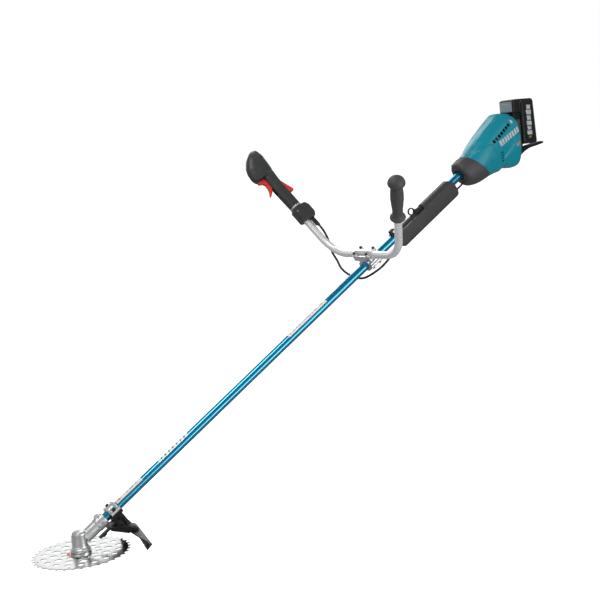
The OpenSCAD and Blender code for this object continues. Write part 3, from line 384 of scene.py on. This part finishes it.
SHAFT_TURN = (-TILT, 0, 0)
# in the moulded looks, the edge strength (0 for marks and labels) paints convex edges paler, a painted
# highlight
MATERIALS = {
    "blade_steel": blade_metal(),
    "steel": metal("steel", (0.56, 0.57, 0.58), 0.3),
    "silver_cast": metal("silver_cast", (0.62, 0.63, 0.63), 0.34, grain=500, depth=0.00016, metallic=0.85),
    "silver_bar": metal("silver_bar", (0.92, 0.925, 0.93), 0.3, grain=260, depth=0.00001,
                        stretch=((0, 0, 0), 0.2), metallic=0.5),
    "blue_pipe": metal("blue_pipe", (0.0, 0.24, 0.42), 0.17, grain=700, depth=0.00002,
                       stretch=(SHAFT_TURN, 0.03), coat=1.0, metallic=0.85),
    "black_screw": metal("black_screw", (0.02, 0.02, 0.022), 0.4, metallic=0.4),
    "black_plastic": moulded("black_plastic", (0.009, 0.009, 0.01), 0.3, gloss=0.3),
    "dark_plastic": moulded("dark_plastic", (0.04, 0.041, 0.042), 0.36, depth=0.00008, gloss=0.35),
    "nose_plastic": moulded("nose_plastic", (0.052, 0.047, 0.05), 0.5, depth=0.00008),
    "teal_plastic": moulded("teal_plastic", (0.0, 0.25, 0.33), 0.3, grain=1300, depth=0.00003, tint=0.05,
                            edge_highlight=0.35, gloss=0.35),
    "red_plastic": moulded("red_plastic", (0.72, 0.035, 0.025), 0.35, depth=0.00003, tint=0.06),
    "grey_plastic": moulded("grey_plastic", (0.22, 0.28, 0.31), 0.4, depth=0.00004),
    "black_rubber": moulded("black_rubber", (0.012, 0.012, 0.012), 0.6, grain=600, depth=0.0001),
    "grip_rubber": moulded("grip_rubber", (0.06, 0.06, 0.062), 0.55, grain=500, depth=0.00015),
    "battery_label": moulded("battery_label", (0.01, 0.035, 0.04), 0.3, tint=0.1, edge_highlight=0.0),
    "white_mark": moulded("white_mark", (0.95, 0.96, 0.96), 0.35, tint=0.03, edge_highlight=0.0),
    "film_white": moulded("film_white", (0.84, 0.85, 0.84), 0.3, grain=300, depth=0.00001, tint=0.02,
                          edge_highlight=0.0),
    "grey_mark": moulded("grey_mark", (0.42, 0.43, 0.46), 0.35, tint=0.05, edge_highlight=0.0),
    "tan_mark": moulded("tan_mark", (0.72, 0.55, 0.3), 0.35, tint=0.05, edge_highlight=0.0),
    "red_mark": moulded("red_mark", (0.7, 0.16, 0.08), 0.35, tint=0.05, edge_highlight=0.0),
    "pink_mark": moulded("pink_mark", (0.8, 0.42, 0.45), 0.35, tint=0.05, edge_highlight=0.0),
    "amber_mark": moulded("amber_mark", (0.75, 0.32, 0.08), 0.35, tint=0.05, edge_highlight=0.0),
    "board_metal": metal("board_metal", (0.55, 0.56, 0.57), 0.35),
    "windings": metal("windings", (0.6, 0.3, 0.14), 0.35, grain=240, depth=0.0002),
}


# ---------------------------------------------------------------- mesh helpers
def link_mesh(name, mesh):
    found = bpy.data.objects.new(name, mesh)
    bpy.context.scene.collection.objects.link(found)
    return found


def mesh_piece(name, work, where=None):
    """An object of the closed shapes in work, with their faces turned outwards."""
    bmesh.ops.recalc_face_normals(work, faces=work.faces)
    mesh = bpy.data.meshes.new(name)
    work.to_mesh(mesh)
    work.free()
    if where:
        mesh.transform(where)
    return link_mesh(name, mesh)


def quad_sheet(work, grid):
    """Quads over a grid of vertices."""
    for near, far in zip(grid, grid[1:]):
        for j in range(len(near) - 1):
            work.faces.new((near[j], far[j], far[j + 1], near[j + 1]))


def slab(work, low, high):
    """A thin closed slab between two grids of vertices."""
    quad_sheet(work, low)
    quad_sheet(work, high)
    for i in range(len(low) - 1):
        for j in (0, -1):
            work.faces.new((low[i][j], low[i + 1][j], high[i + 1][j], high[i][j]))
    for j in range(len(low[0]) - 1):
        for i in (0, -1):
            work.faces.new((low[i][j], low[i][j + 1], high[i][j + 1], high[i][j]))


def settle(item):
    """Bake an object's modifiers into its mesh."""
    bpy.context.view_layer.update()
    baked = bpy.data.meshes.new_from_object(item.evaluated_get(bpy.context.evaluated_depsgraph_get()))
    item.modifiers.clear()
    item.data = baked
    return item


def soften_shading(mesh, angle=35):
    work = bmesh.new()
    work.from_mesh(mesh)
    limit = math.radians(angle)
    for face in work.faces:
        face.smooth = True
    for edge in work.edges:
        edge.smooth = len(edge.link_faces) != 2 or edge.calc_face_angle(0) < limit
    work.to_mesh(mesh)
    work.free()


def finish_piece(item, look, body, stands_for=(), angle=35):
    item.data.materials.clear()
    item.data.materials.append(MATERIALS[look])
    soften_shading(item.data, angle)
    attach(item, body)
    if stands_for:
        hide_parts(*stands_for)
    return item


def curve_value(t, p, q, r, s):
    """A smooth curve's value between q and r, with p before and s after them (Catmull-Rom)."""
    square, cube = 2 * p - 5 * q + 4 * r - s, 3 * q - p - 3 * r + s
    return 0.5 * (2 * q + (r - p) * t + square * t * t + cube * t ** 3)


def curve_through(rows, steps):
    """Rows of numbers joined by a smooth curve, with so many steps from each row to the next."""
    made = []
    for i in range(len(rows) - 1):
        a, b, c, d = rows[max(i - 1, 0)], rows[i], rows[i + 1], rows[min(i + 2, len(rows) - 1)]
        for j in range(steps):
            made.append(tuple(curve_value(j / steps, *spots) for spots in zip(a, b, c, d)))
    made.append(tuple(rows[-1]))
    return made


def power(value, k):
    """The k-th power of a value's size, with the value's sign."""
    return math.copysign(abs(value) ** k, value)


def skin_rings(name, rings, where):
    """A closed mesh over rings of equal length."""
    work = bmesh.new()
    loops = [[work.verts.new(p) for p in ring] for ring in rings]
    count = len(loops[0])
    for low, high in zip(loops, loops[1:]):
        for j in range(count):
            k = (j + 1) % count
            work.faces.new((low[j], low[k], high[k], high[j]))
    work.faces.new(reversed(loops[0]))
    work.faces.new(loops[-1])
    return mesh_piece(name, work, where)


def box_cutter(work, low, high, spin=None):
    """A box from low to high, spun by a matrix about its own middle."""
    middle = (Vector(low) + Vector(high)) / 2
    size = Vector(high) - Vector(low)
    place = Matrix.Translation(middle) @ (spin or Matrix()) @ Matrix.Diagonal((*size, 1))
    bmesh.ops.create_cube(work, size=1, matrix=place)


def rod_cutter(work, radius, start, end, segments=48):
    """A rod from start to end."""
    span = Vector(end) - Vector(start)
    middle = (Vector(start) + Vector(end)) / 2
    place = Matrix.Translation(middle) @ span.to_track_quat("Z", "Y").to_matrix().to_4x4()
    bmesh.ops.create_cone(work, cap_ends=True, segments=segments, radius1=radius, radius2=radius,
                          depth=span.length, matrix=place)


def carve(item, work, where):
    """Take the closed shapes in work away from item."""
    mesh = bpy.data.meshes.new("cutter")
    work.to_mesh(mesh)
    work.free()
    mesh.transform(where)
    cutter = link_mesh("cutter", mesh)
    cut = item.modifiers.new("cut", "BOOLEAN")
    cut.object = cutter
    cut.solver = "EXACT"
    cut.use_self = True
    settle(item)
    bpy.data.objects.remove(cutter)


def half_of(item, name, where, side):
    """A copy of item cut at x = 0 of a frame, keeping one side and closing the cut."""
    mesh = item.data.copy()
    work = bmesh.new()
    work.from_mesh(mesh)
    plane = where.to_3x3() @ Vector((side, 0, 0))
    everything = work.verts[:] + work.edges[:] + work.faces[:]
    bmesh.ops.bisect_plane(work, geom=everything, plane_co=where.translation, plane_no=-plane.normalized(),
                           clear_outer=True)
    open_edges = [e for e in work.edges if e.is_boundary]
    bmesh.ops.holes_fill(work, edges=open_edges, sides=0)
    work.to_mesh(mesh)
    work.free()
    return link_mesh(name, mesh)


# openings cut again after the rounding, so that the piece in them can move: node: (low, high, frame)
POCKETS = {"battery_case": ((-27.6, 1510, 1026.4), (27.6, 1527.9, 1058.6), HEAD)}
KEPT_SHARE = 0.35  # of the remesh's triangles
FORM_ANGLE = 50  # degrees, above which an edge of a rounded copy stays sharp


def rounded_copy(node, look, body, voxel, rounds):
    """A CAD node remade with rounded edges: a remesh in voxels of so many mm, then rounds of smoothing."""
    item = link_mesh(node + "_form", nodes[node].data.copy())
    remesh = item.modifiers.new("remesh", "REMESH")
    remesh.mode = "VOXEL"
    remesh.voxel_size = metres(voxel)
    remesh.adaptivity = 0
    smooth = item.modifiers.new("smooth", "SMOOTH")
    smooth.factor = 0.5
    smooth.iterations = rounds
    thin = item.modifiers.new("thin", "DECIMATE")
    thin.ratio = KEPT_SHARE
    settle(item)
    if node in POCKETS:
        low, high, where = POCKETS[node]
        pocket = bmesh.new()
        box_cutter(pocket, low, high)
        carve(item, pocket, where)
    return finish_piece(item, look, body, (node,), angle=FORM_ANGLE)


DECAL_FROM_X = 90  # where the rays that lay a decal on its target start
DECAL_THICKNESS = 0.0002  # metres


def decal(name, target, corners, look, body, where, steps, lift=0.25):
    """A thin patch laid on target from +X of a frame. corners are four (y, z) pairs."""
    bpy.context.view_layer.update()
    tree = BVHTree.FromObject(target, bpy.context.evaluated_depsgraph_get())
    toward = (where.to_3x3() @ Vector((-1, 0, 0))).normalized()
    a, b, c, d = [Vector(p) for p in corners]
    work = bmesh.new()
    grid = []
    for i in range(steps[0] + 1):
        row = []
        for j in range(steps[1] + 1):
            u, v = i / steps[0], j / steps[1]
            spot = (a * (1 - u) + b * u) * (1 - v) + (d * (1 - u) + c * u) * v
            start = where @ Vector((DECAL_FROM_X, spot.x, spot.y))
            hit = tree.ray_cast(start, toward)
            if hit[0] is None:
                raise ValueError(name + " misses its target")
            row.append(work.verts.new(hit[0] - toward * metres(lift)))
        grid.append(row)
    quad_sheet(work, grid)
    bmesh.ops.solidify(work, geom=work.faces[:], thickness=DECAL_THICKNESS)
    return finish_piece(mesh_piece(name, work), look, body)


# ---------------------------------------------------------------- control cable
def arm_point(x, y, z):
    """A point of the throttle grip's arm, in the shaft frame."""
    return tuple(SHAFT.inverted() @ arm(-1) @ Vector((x, y, z)))


CABLE_R = 3.5
# in the shaft frame: out of the boot, along under the handlebar, round the pipe and into the box
CABLE_ROUTE = [
    arm_point(6, 20, 36), arm_point(6, 20, 33), arm_point(6, 20, 29), (-216, 1172, 80),
    (-205, 1162, 54), (-189, 1143, 26), (-165, 1130, 5), (-140, 1115, -10), (-110, 1106, -21),
    (-80, 1102, -29), (-50, 1100, -34), (-20, 1103, -34), (4, 1113, -30), (18, 1129, -28),
    (24, 1148, -27.5), (24, 1170, -26.5), (18, 1200, -26), (9, 1228, -27), (0, 1246, -28),
    (0, 1255, -28),
]


def add_cable():
    """The lead from the throttle grip, held in its boot at one end and in the control box at the other."""
    points = [SHAFT @ Vector(p) for p in curve_through(CABLE_ROUTE, 5)]
    data = bpy.data.curves.new("cable", "CURVE")
    data.dimensions = "3D"
    line = data.splines.new("POLY")
    line.points.add(len(points) - 1)
    for spot, point in zip(line.points, points):
        spot.co = (*point, 1)
    data.bevel_depth = metres(CABLE_R)
    data.bevel_resolution = 5
    data.use_fill_caps = True
    data.materials.append(MATERIALS["black_rubber"])
    cable = bpy.data.objects.new("throttle_cable", data)
    bpy.context.scene.collection.objects.link(cable)
    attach(cable, "frame")
    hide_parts("control_cable")


add_cable()


# ---------------------------------------------------------------- motor housing
# A row of a loft holds an oval's top s and h, its bottom s and h, its half width and its squareness.
def oval(top, bottom, half, k, count, relief=None):
    """A squarish oval in the shaft frame between a top and a bottom point of the middle plane."""
    middle = Vector((0, (top[0] + bottom[0]) / 2, (top[1] + bottom[1]) / 2))
    made = []
    for i in range(count):
        a = 2 * math.pi * (i + 0.5) / count
        u, v = power(math.sin(a), 2 / k), power(math.cos(a), 2 / k)
        point = Vector((half * v, middle.y + u * (top[0] - bottom[0]) / 2,
                        middle.z + u * (top[1] - bottom[1]) / 2))
        if relief:
            out = (point - middle).normalized()
            point += out * relief(point)
        made.append(point)
    return made


def loft_rings(rows, steps, count, relief=None):
    """The ovals of a smooth loft through rows."""
    return [oval(r[0:2], r[2:4], r[4], r[5], count, relief) for r in curve_through(rows, steps)]


def ease(value, start, end):
    """0 up to start, 1 from end on, and a smooth step between them."""
    t = min(1, max(0, (value - start) / (end - start)))
    return t * t * (3 - 2 * t)


def line_at(value, points):
    """Height of a broken line at value."""
    for (x0, y0), (x1, y1) in zip(points, points[1:]):
        if value <= x1:
            return y0 + (y1 - y0) * max(0, value - x0) / (x1 - x0)
    return points[-1][1]


LOBE_TOP = [(1590, 34), (1640, 30), (1666, 25), (1684, 17)]  # (s, h) of the motor lobe's upper edge
LOBE_REAR = [(-80, 1676), (-48, 1678), (-22, 1680), (2, 1674), (20, 1682)]  # (h, s) of its rear edge
LOBE_STEP = 1.5  # half the width of the step at these edges
SEAM_DEPTH = 0.9  # of the groove where the housing's halves meet
PANEL_DEPTH = 2.8
PANEL_START = (1598, 1606)  # s over which the panel begins
CREST_EDGE = (19.5, 21.5)  # x over which the crest ends
CREST_LOW_H = -10
FOOT_S, FOOT_SLOPE = 1700, 0.2  # the panel's lower edge rises towards the rear
FOOT_H = (-46, -40)


def housing_relief(point):
    """The side panel is sunk under a crest along the top and behind the round motor lobe."""
    x, s, h = abs(point.x), point.y, point.z
    seam = -SEAM_DEPTH * (1 - ease(x, 0.5, 1.3))
    under_crest = ease(x, *CREST_EDGE) if h > CREST_LOW_H else 1
    lobe_top, lobe_rear = line_at(s, LOBE_TOP), line_at(h, LOBE_REAR)
    above_lobe = ease(h, lobe_top - LOBE_STEP, lobe_top + LOBE_STEP)
    behind_lobe = ease(s, lobe_rear - LOBE_STEP, lobe_rear + LOBE_STEP)
    foot_rise = (s - FOOT_S) * FOOT_SLOPE
    above_foot = ease(h, FOOT_H[0] + foot_rise, FOOT_H[1] + foot_rise)
    panel = max(above_lobe, behind_lobe * above_foot)
    return seam - PANEL_DEPTH * under_crest * panel * ease(s, *PANEL_START)


HOUSING = [
    (1596, 36, 1632, -66, 47, 2.2),
    (1638, 48.5, 1655, -72.5, 50.5, 2.3),
    (1687, 58, 1672, -77.5, 52, 2.5),
    (1735.5, 65, *to_shaft(1466, 860), 52, 2.7),
    (*to_shaft(1466, 1023.5), *to_shaft(1484, 857), 51, 3.0),
    (*to_shaft(1493.5, 1024), *to_shaft(1501, 855), 50.5, 3.3),
    (*to_shaft(1513, 1020), *to_shaft(1516, 857), 49.5, 3.6),
    (*to_shaft(1526, 1010), *to_shaft(1526, 862), 47, 3.8),
    (*to_shaft(1533.5, 999), *to_shaft(1533, 872), 42, 4.0),
]


HOUSING_HOLLOW = [
    (1592, 30, 1626, -58, 43, 2.2),
    (1642, 39, 1655, -65, 46, 2.3),
    (1690, 48, 1672, -71, 48, 2.5),
    (1736, 56, *to_shaft(1466, 865), 48, 2.7),
    (*to_shaft(1468, 1013), *to_shaft(1482, 862), 46, 3.0),
    (*to_shaft(1490, 1015), *to_shaft(1497, 861), 45, 3.3),
    (*to_shaft(1505, 1012), *to_shaft(1505, 864), 44, 3.6),
]
HOUSING_POINTS = 176
REAR_TOP, REAR_BOTTOM, REAR_INSET, REAR_SQUARENESS = to_shaft(1535.5, 995), to_shaft(1535, 876), 4, 4
BATTERY_BAY = ((-31, 1511.5, 912), (31, 1571.5, 1042))
STAND_SOCKET = ((-12.2, 1522.8, 850), (12.2, 1562.8, 897.2))
SLOT_X = (34, 66)  # how far out the vents' cutters start and end
# count, first s and h, step in s and h, half length, half width, turn in degrees
VENT_ROWS = (
    (7, 1691.5, 19.7, 12.6, 1.2, 4.6, 5.5, 14),
    (4, 1696, -24, -3.2, -8, 6, 1.6, -20),
)


def vent_slots(work):
    """Cutters for the vents of both sides."""
    for side in (1, -1):
        low, high = sorted(side * x for x in SLOT_X)
        for count, first_s, first_h, step_s, step_h, along, across, degrees in VENT_ROWS:
            for i in range(count):
                s, h = first_s + i * step_s, first_h + i * step_h
                box_cutter(work, (low, s - along, h - across), (high, s + along, h + across),
                           turn(math.radians(degrees), "X"))


def carve_housing(whole):
    """Hollow the housing and cut its vents, the battery's bay and the stand's socket."""
    inner = bmesh.new()
    hollow = skin_rings("hollow", loft_rings(HOUSING_HOLLOW, 4, 48), Matrix())
    inner.from_mesh(hollow.data)
    bpy.data.objects.remove(hollow)
    carve(whole, inner, SHAFT)
    slots = bmesh.new()
    vent_slots(slots)
    carve(whole, slots, SHAFT)
    bay = bmesh.new()
    box_cutter(bay, *BATTERY_BAY)
    box_cutter(bay, *STAND_SOCKET)
    carve(whole, bay, HEAD)


def add_housing():
    """Both halves of the motor housing. The left one is given back, to lay the marks on."""
    rings = loft_rings(HOUSING, 16, HOUSING_POINTS, housing_relief)
    half_width = HOUSING[-1][4] - REAR_INSET
    rings.append(oval(REAR_TOP, REAR_BOTTOM, half_width, REAR_SQUARENESS, HOUSING_POINTS))
    whole = skin_rings("housing", rings, SHAFT)
    carve_housing(whole)
    left = half_of(whole, "housing_left_form", SHAFT, 1)
    right = half_of(whole, "housing_right_form", SHAFT, -1)
    bpy.data.objects.remove(whole)
    finish_piece(left, "teal_plastic", "frame", ("housing_left",), 24)
    finish_piece(right, "teal_plastic", "frame", ("housing_right",), 24)
    return left


NOSE = [
    (1554, 32, 1552, -32, 31, 2.2),
    (1558, 36, 1554, -38, 35, 2.2),
    (1568, 38.5, 1563, -48, 40, 2.2),
    (1582, 38.5, 1592, -59.5, 44.5, 2.2),
    (1595.4, 36, 1631.2, -66, 47, 2.2),
]


def nose_relief(point):
    """A seam down the middle, and a crest along the top above sunk sides."""
    x = abs(point.x)
    seam = -0.8 * (1 - ease(x, 0.5, 1.3))
    return seam - 1.4 * ease(x, 19, 21.5) * ease(point.z, -4, 4)


def add_nose():
    """The nose, bored for its rubber ring, the pipe and the motor's lead."""
    nose = skin_rings("nose_cover_form", loft_rings(NOSE, 10, 144, nose_relief), SHAFT)
    bore = bmesh.new()
    rod_cutter(bore, 19.6, (0, 1530, 0), (0, 1576, 0))
    rod_cutter(bore, 16.2, (0, 1574, 0), (0, 1640, 0))
    rod_cutter(bore, 3.1, (0, 1530, -28), (0, 1580, -28), 24)
    carve(nose, bore, SHAFT)
    finish_piece(nose, "nose_plastic", "frame", ("nose_cover",), 24)


UPPER_PATCH = ((1780, 24), (1787, 22), (1788, 32), (1781, 34))
LOWER_PATCH = ((1754, -44), (1772, -46), (1774, -38), (1756, -36))


def add_housing_marks(side_panel):
    """Plain slanted bars and small patches where such machines carry their printing."""
    for i in range(8):
        s = 1702 + i * 11.4
        h = 1 - i * 0.8
        corners = ((s, h - 8), (s + 8, h - 8.5), (s + 11.5, h + 8.5), (s + 3.5, h + 9))
        decal("side_bar_%d" % i, side_panel, corners, "white_mark", "frame", SHAFT, (4, 4))
    decal("upper_patch", side_panel, UPPER_PATCH, "white_mark", "frame", SHAFT, (4, 4))
    decal("lower_patch", side_panel, LOWER_PATCH, "pink_mark", "frame", SHAFT, (6, 4))


panel = add_housing()
add_nose()
add_housing_marks(panel)


# ---------------------------------------------------------------- pipe films
FILM_THICKNESS = 0.1
FILM_LIFT, MARK_LIFT, TOP_MARK_LIFT = 0.1, 0.22, 0.34  # heights of the layers above the pipe
FILMS = (("lower_film", 134, 224), ("upper_film", 794, 950))  # name, first and last s
FILM_ANGLES = (40, 164)  # degrees from +X towards the top
# name, look, first and last s, first and last angle, lift
FILM_SPOTS = (
    ("lower_spot", "tan_mark", (136, 147), (58, 96), MARK_LIFT),
    ("lower_dot", "red_mark", (143, 150), (62, 84), TOP_MARK_LIFT),
    ("upper_spot", "tan_mark", (926, 937), (60, 96), MARK_LIFT),
    ("upper_dot", "tan_mark", (800, 807), (62, 84), MARK_LIFT),
)
LOWER_MARKS = ((172, 176), (184, 196), (204, 208))
BAR_LENGTH, BAR_LEAN = 9.5, 5


def pipe_patch(name, look, span, angles, lift=FILM_LIFT, lean=0, steps=(8, 10)):
    """A thin curved film on the pipe. lean moves its upper edge along the pipe."""
    (s0, s1), (a0, a1) = span, angles
    work = bmesh.new()
    layers = []
    for radius in (PIPE_R + lift, PIPE_R + lift + FILM_THICKNESS):
        grid = []
        for i in range(steps[0] + 1):
            row = []
            for j in range(steps[1] + 1):
                u, v = i / steps[0], j / steps[1]
                a = math.radians(a0 + (a1 - a0) * v)
                s = s0 + (s1 - s0) * u + lean * v
                row.append(work.verts.new((radius * math.cos(a), s, radius * math.sin(a))))
            grid.append(row)
        layers.append(grid)
    slab(work, *layers)
    return finish_piece(mesh_piece(name, work, SHAFT), look, "frame")


def add_pipe_films():
    """Two white films with small plain marks, and a row of slanted bars."""
    for name, s0, s1 in FILMS:
        film = pipe_patch(name, "film_white", (s0, s1), FILM_ANGLES, steps=(12, 24))
        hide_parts("pipe_labels")
    for name, look, span, angles, lift in FILM_SPOTS:
        pipe_patch(name, look, span, angles, lift)
    for i, span in enumerate(LOWER_MARKS):
        pipe_patch("lower_mark_%d" % i, "grey_mark", span, (66, 86), MARK_LIFT)
    for i in range(9):
        s = 816 + 11 * i
        pipe_patch("upper_mark_%d" % i, "grey_mark", (s, s + 5 + 2 * (i % 3)), (66, 84), MARK_LIFT)
    for i in range(8):
        s = 286 + 14 * i
        pipe_patch("pipe_bar_%d" % i, "white_mark", (s, s + BAR_LENGTH), (44, 118), lean=BAR_LEAN)


add_pipe_films()


# ---------------------------------------------------------------- grips
GRIP_BORE_R = 11.1  # hole for the bar
# rows along the arm: height, middle in Y, half width in X and in Y
THROTTLE_HANDLE = [
    (127, 3, 16, 19), (150, 2.5, 16, 19.5), (178, 2, 16, 19.8), (205, 2, 16.5, 20.2),
    (228, 2, 17, 20.6), (247, 2.8, 18, 21.2), (264, 3.6, 18.6, 22),
]
THROTTLE_HEAD = [
    (258.5, -9, 19.5, 34), (266, -11, 20.5, 38.5), (280, -10.5, 21.5, 40.5), (296, -8, 22, 39.5),
    (312, -4.5, 21.5, 37), (325, 0, 20, 32), (337, 4.5, 17, 25.5), (346, 10, 13, 18),
    (352, 13, 8, 11), (355, 14.5, 3, 4.5),
]
THROTTLE_POINTS, THROTTLE_SQUARENESS = 96, 2.4
HEAD_START = 262  # height above which the head's own moulding line shows
HEAD_LINE = [(-46, 292), (-30, 296), (-16, 284), (2, 284), (14, 306), (30, 316)]  # (y, height)
HEAD_LINE_STEP, HEAD_LINE_DEPTH = 1.2, 1.3


def throttle_oval(t, c, rx, ry):
    """A squarish oval across the throttle grip at height t, about y = c."""
    made = []
    for i in range(THROTTLE_POINTS):
        a = 2 * math.pi * (i + 0.5) / THROTTLE_POINTS
        x = rx * power(math.cos(a), 2 / THROTTLE_SQUARENESS)
        y = c + ry * power(math.sin(a), 2 / THROTTLE_SQUARENESS)
        point = Vector((x, y, t))
        out = Vector((point.x, point.y - c, 0)).normalized()
        made.append(point + out * throttle_relief(point))
    return made


def throttle_relief(point):
    """A seam down the middle, and a stepped line across the head where its two mouldings meet."""
    seam = -0.7 * (1 - ease(abs(point.x), 0.4, 1.1))
    if point.z < HEAD_START:
        return seam
    step = line_at(point.y, HEAD_LINE)
    return seam - HEAD_LINE_DEPTH * (1 - ease(point.z, step - HEAD_LINE_STEP, step + HEAD_LINE_STEP))


def throttle_part(name, rows):
    return skin_rings(name, [throttle_oval(*row) for row in curve_through(rows, 8)], arm(-1))


def add_throttle_grip():
    """Both halves of the throttle grip, with room for the bar, the trigger, the lever and the button."""
    grip = throttle_part("grip", THROTTLE_HANDLE)
    head = throttle_part("head", THROTTLE_HEAD)
    join = grip.modifiers.new("join", "BOOLEAN")
    join.operation = "UNION"
    join.object = head
    join.solver = "EXACT"
    settle(grip)
    bpy.data.objects.remove(head)
    gaps = bmesh.new()
    rod_cutter(gaps, GRIP_BORE_R, (0, 0, 100), (0, 0, 132.2))
    box_cutter(gaps, (-7, -28, 189), (7, -1, 257.5))
    box_cutter(gaps, (-6.2, 4, 170), (6.2, 30, 230))
    rod_cutter(gaps, 7.4, (10, 12, 325), (40, 12, 325), 32)
    carve(grip, gaps, arm(-1))
    for side, name in ((1, "grip_inner"), (-1, "grip_outer")):
        half = half_of(grip, name + "_form", arm(-1), side)
        finish_piece(half, "dark_plastic", "frame", (name + "_shell",), 28)
    bpy.data.objects.remove(grip)


# (height along the arm, radius)
LEFT_GRIP = [
    (77, 14), (78.5, 19), (82, 21.8), (86, 21.6), (91, 17.8), (97, 15), (105, 14.4), (118, 15.1),
    (132, 16.7), (147, 17.9), (160, 18.2), (174, 17.8), (186, 16.8), (194, 16.2), (198.5, 17),
    (200, 20.4), (202.5, 23.2), (206.5, 24.2), (211, 23.5), (217.5, 20.6), (222.5, 15), (226, 8.5),
    (226.9, 2),
]
LEFT_GRIP_POINTS = 96
RIB_START, RIB_END, RIB_PITCH, RIB_DEPTH = 104, 190, 6.5, 0.45
GROOVE_END, GROOVE_DEPTH = 192, 0.9


def grip_ring(t, r):
    """A circle across the left grip, with its ribs and the groove above them."""
    if RIB_START < t < RIB_END:
        r += RIB_DEPTH * math.cos(2 * math.pi * t / RIB_PITCH)
    if RIB_END < t < GROOVE_END:
        r -= GROOVE_DEPTH
    angles = [2 * math.pi * j / LEFT_GRIP_POINTS for j in range(LEFT_GRIP_POINTS)]
    return [Vector((r * math.cos(a), r * math.sin(a), t)) for a in angles]


def add_left_grip():
    grip = skin_rings("left_grip_form", [grip_ring(*row) for row in curve_through(LEFT_GRIP, 5)], arm(1))
    bore = bmesh.new()
    rod_cutter(bore, GRIP_BORE_R, (0, 0, 60), (0, 0, 202))
    carve(grip, bore, arm(1))
    finish_piece(grip, "grip_rubber", "frame", ("left_grip",), 40)


add_throttle_grip()
add_left_grip()


# ---------------------------------------------------------------- blade mark
ARC_RADII, ARC_HEIGHTS = (29, 37), (0.95, 1.1)
ARC_START, ARC_STEP, ARC_STEPS = 232, 5, 12  # the first two in degrees


def add_blade_mark():
    """A plain red arc on the disc's upper face, riding with it."""
    work = bmesh.new()
    layers = []
    for height in ARC_HEIGHTS:
        grid = []
        for i in range(ARC_STEPS + 1):
            a = math.radians(ARC_START + ARC_STEP * i)
            grid.append([work.verts.new((r * math.cos(a), r * math.sin(a), height)) for r in ARC_RADII])
        layers.append(grid)
    slab(work, *layers)
    finish_piece(mesh_piece("blade_mark", work, HEAD), "red_mark", "cutter")


add_blade_mark()


# ---------------------------------------------------------------- rounded remakes of the other CAD shapes
# node, look, body, voxel in mm, rounds of smoothing
ROUNDED = (
    ("gear_case", "silver_cast", "frame", 0.8, 3),
    ("case_cover", "silver_cast", "frame", 0.6, 2),
    ("guard_clamp_top", "silver_cast", "frame", 0.7, 2),
    ("guard_bracket", "black_plastic", "frame", 0.8, 2),
    ("guard", "black_plastic", "frame", 1.0, 3),
    ("handle_base", "silver_cast", "frame", 0.8, 2),
    ("handle_holder", "silver_cast", "frame", 0.8, 3),
    ("handle_cap", "silver_cast", "frame", 0.8, 3),
    ("trigger", "red_plastic", "trigger", 0.5, 3),
    ("lock_lever", "red_plastic", "lock_lever", 0.5, 3),
    ("grip_band", "silver_cast", "frame", 0.5, 1),
    ("cable_block", "dark_plastic", "frame", 0.8, 5),
    ("pipe_sleeve", "black_rubber", "frame", 0.8, 2),
    ("hanger_band", "black_plastic", "frame", 0.6, 1),
    ("hanger_eye", "black_screw", "frame", 0.5, 2),
    ("box_left", "dark_plastic", "frame", 0.9, 3),
    ("box_right", "dark_plastic", "frame", 0.9, 3),
    ("battery_case", "black_plastic", "battery", 0.9, 4),
    ("battery_button", "grey_plastic", "battery_button", 0.5, 2),
    ("rear_stand", "black_plastic", "frame", 0.6, 3),
)
formed = {}
for node, look, body, voxel, rounds in ROUNDED:
    formed[node] = rounded_copy(node, look, body, voxel, rounds)


LABEL = ((1562, 938), (1588, 938), (1585, 1046), (1562, 1046))
LABEL_SPOT = ((1570, 943), (1580, 943), (1580, 949), (1570, 949))
LABEL_BARS = ((1032, 1044), (1015, 1029), (998, 1012), (982, 995), (968, 979), (953, 965))
LABEL_MIDDLE, LABEL_LIFT = 1575, 0.15


def label_bar(i, low, high):
    """Corners of one bar. Every second bar is wider, and each leans forward by 1 mm."""
    half = (15 + 4 * (i % 2)) / 2
    top = LABEL_MIDDLE - 1
    return (LABEL_MIDDLE - half, low), (LABEL_MIDDLE + half, low), (top + half, high), (top - half, high)


def add_battery_label(case):
    """A dark label on the battery's +X side, with plain pale bars in place of print."""
    label = decal("pack_label", case, LABEL, "battery_label", "battery", HEAD, (6, 14), LABEL_LIFT)
    for i, (low, high) in enumerate(LABEL_BARS):
        corners = label_bar(i, low, high)
        decal("pack_bar_%d" % i, label, corners, "white_mark", "battery", HEAD, (3, 3), LABEL_LIFT)
    decal("pack_spot", label, LABEL_SPOT, "amber_mark", "battery", HEAD, (3, 2), LABEL_LIFT)


add_battery_label(formed["battery_case"])

# ---------------------------------------------------------------- the CAD nodes that stay as they are
SLOT_OF = {part["node"]: part["material_slot"] for part in frame["record"]["subparts"]}
MATERIALS["label_film"] = MATERIALS["film_white"]
for name, item in nodes.items():
    item.data.materials.clear()
    item.data.materials.append(MATERIALS[SLOT_OF[name]])
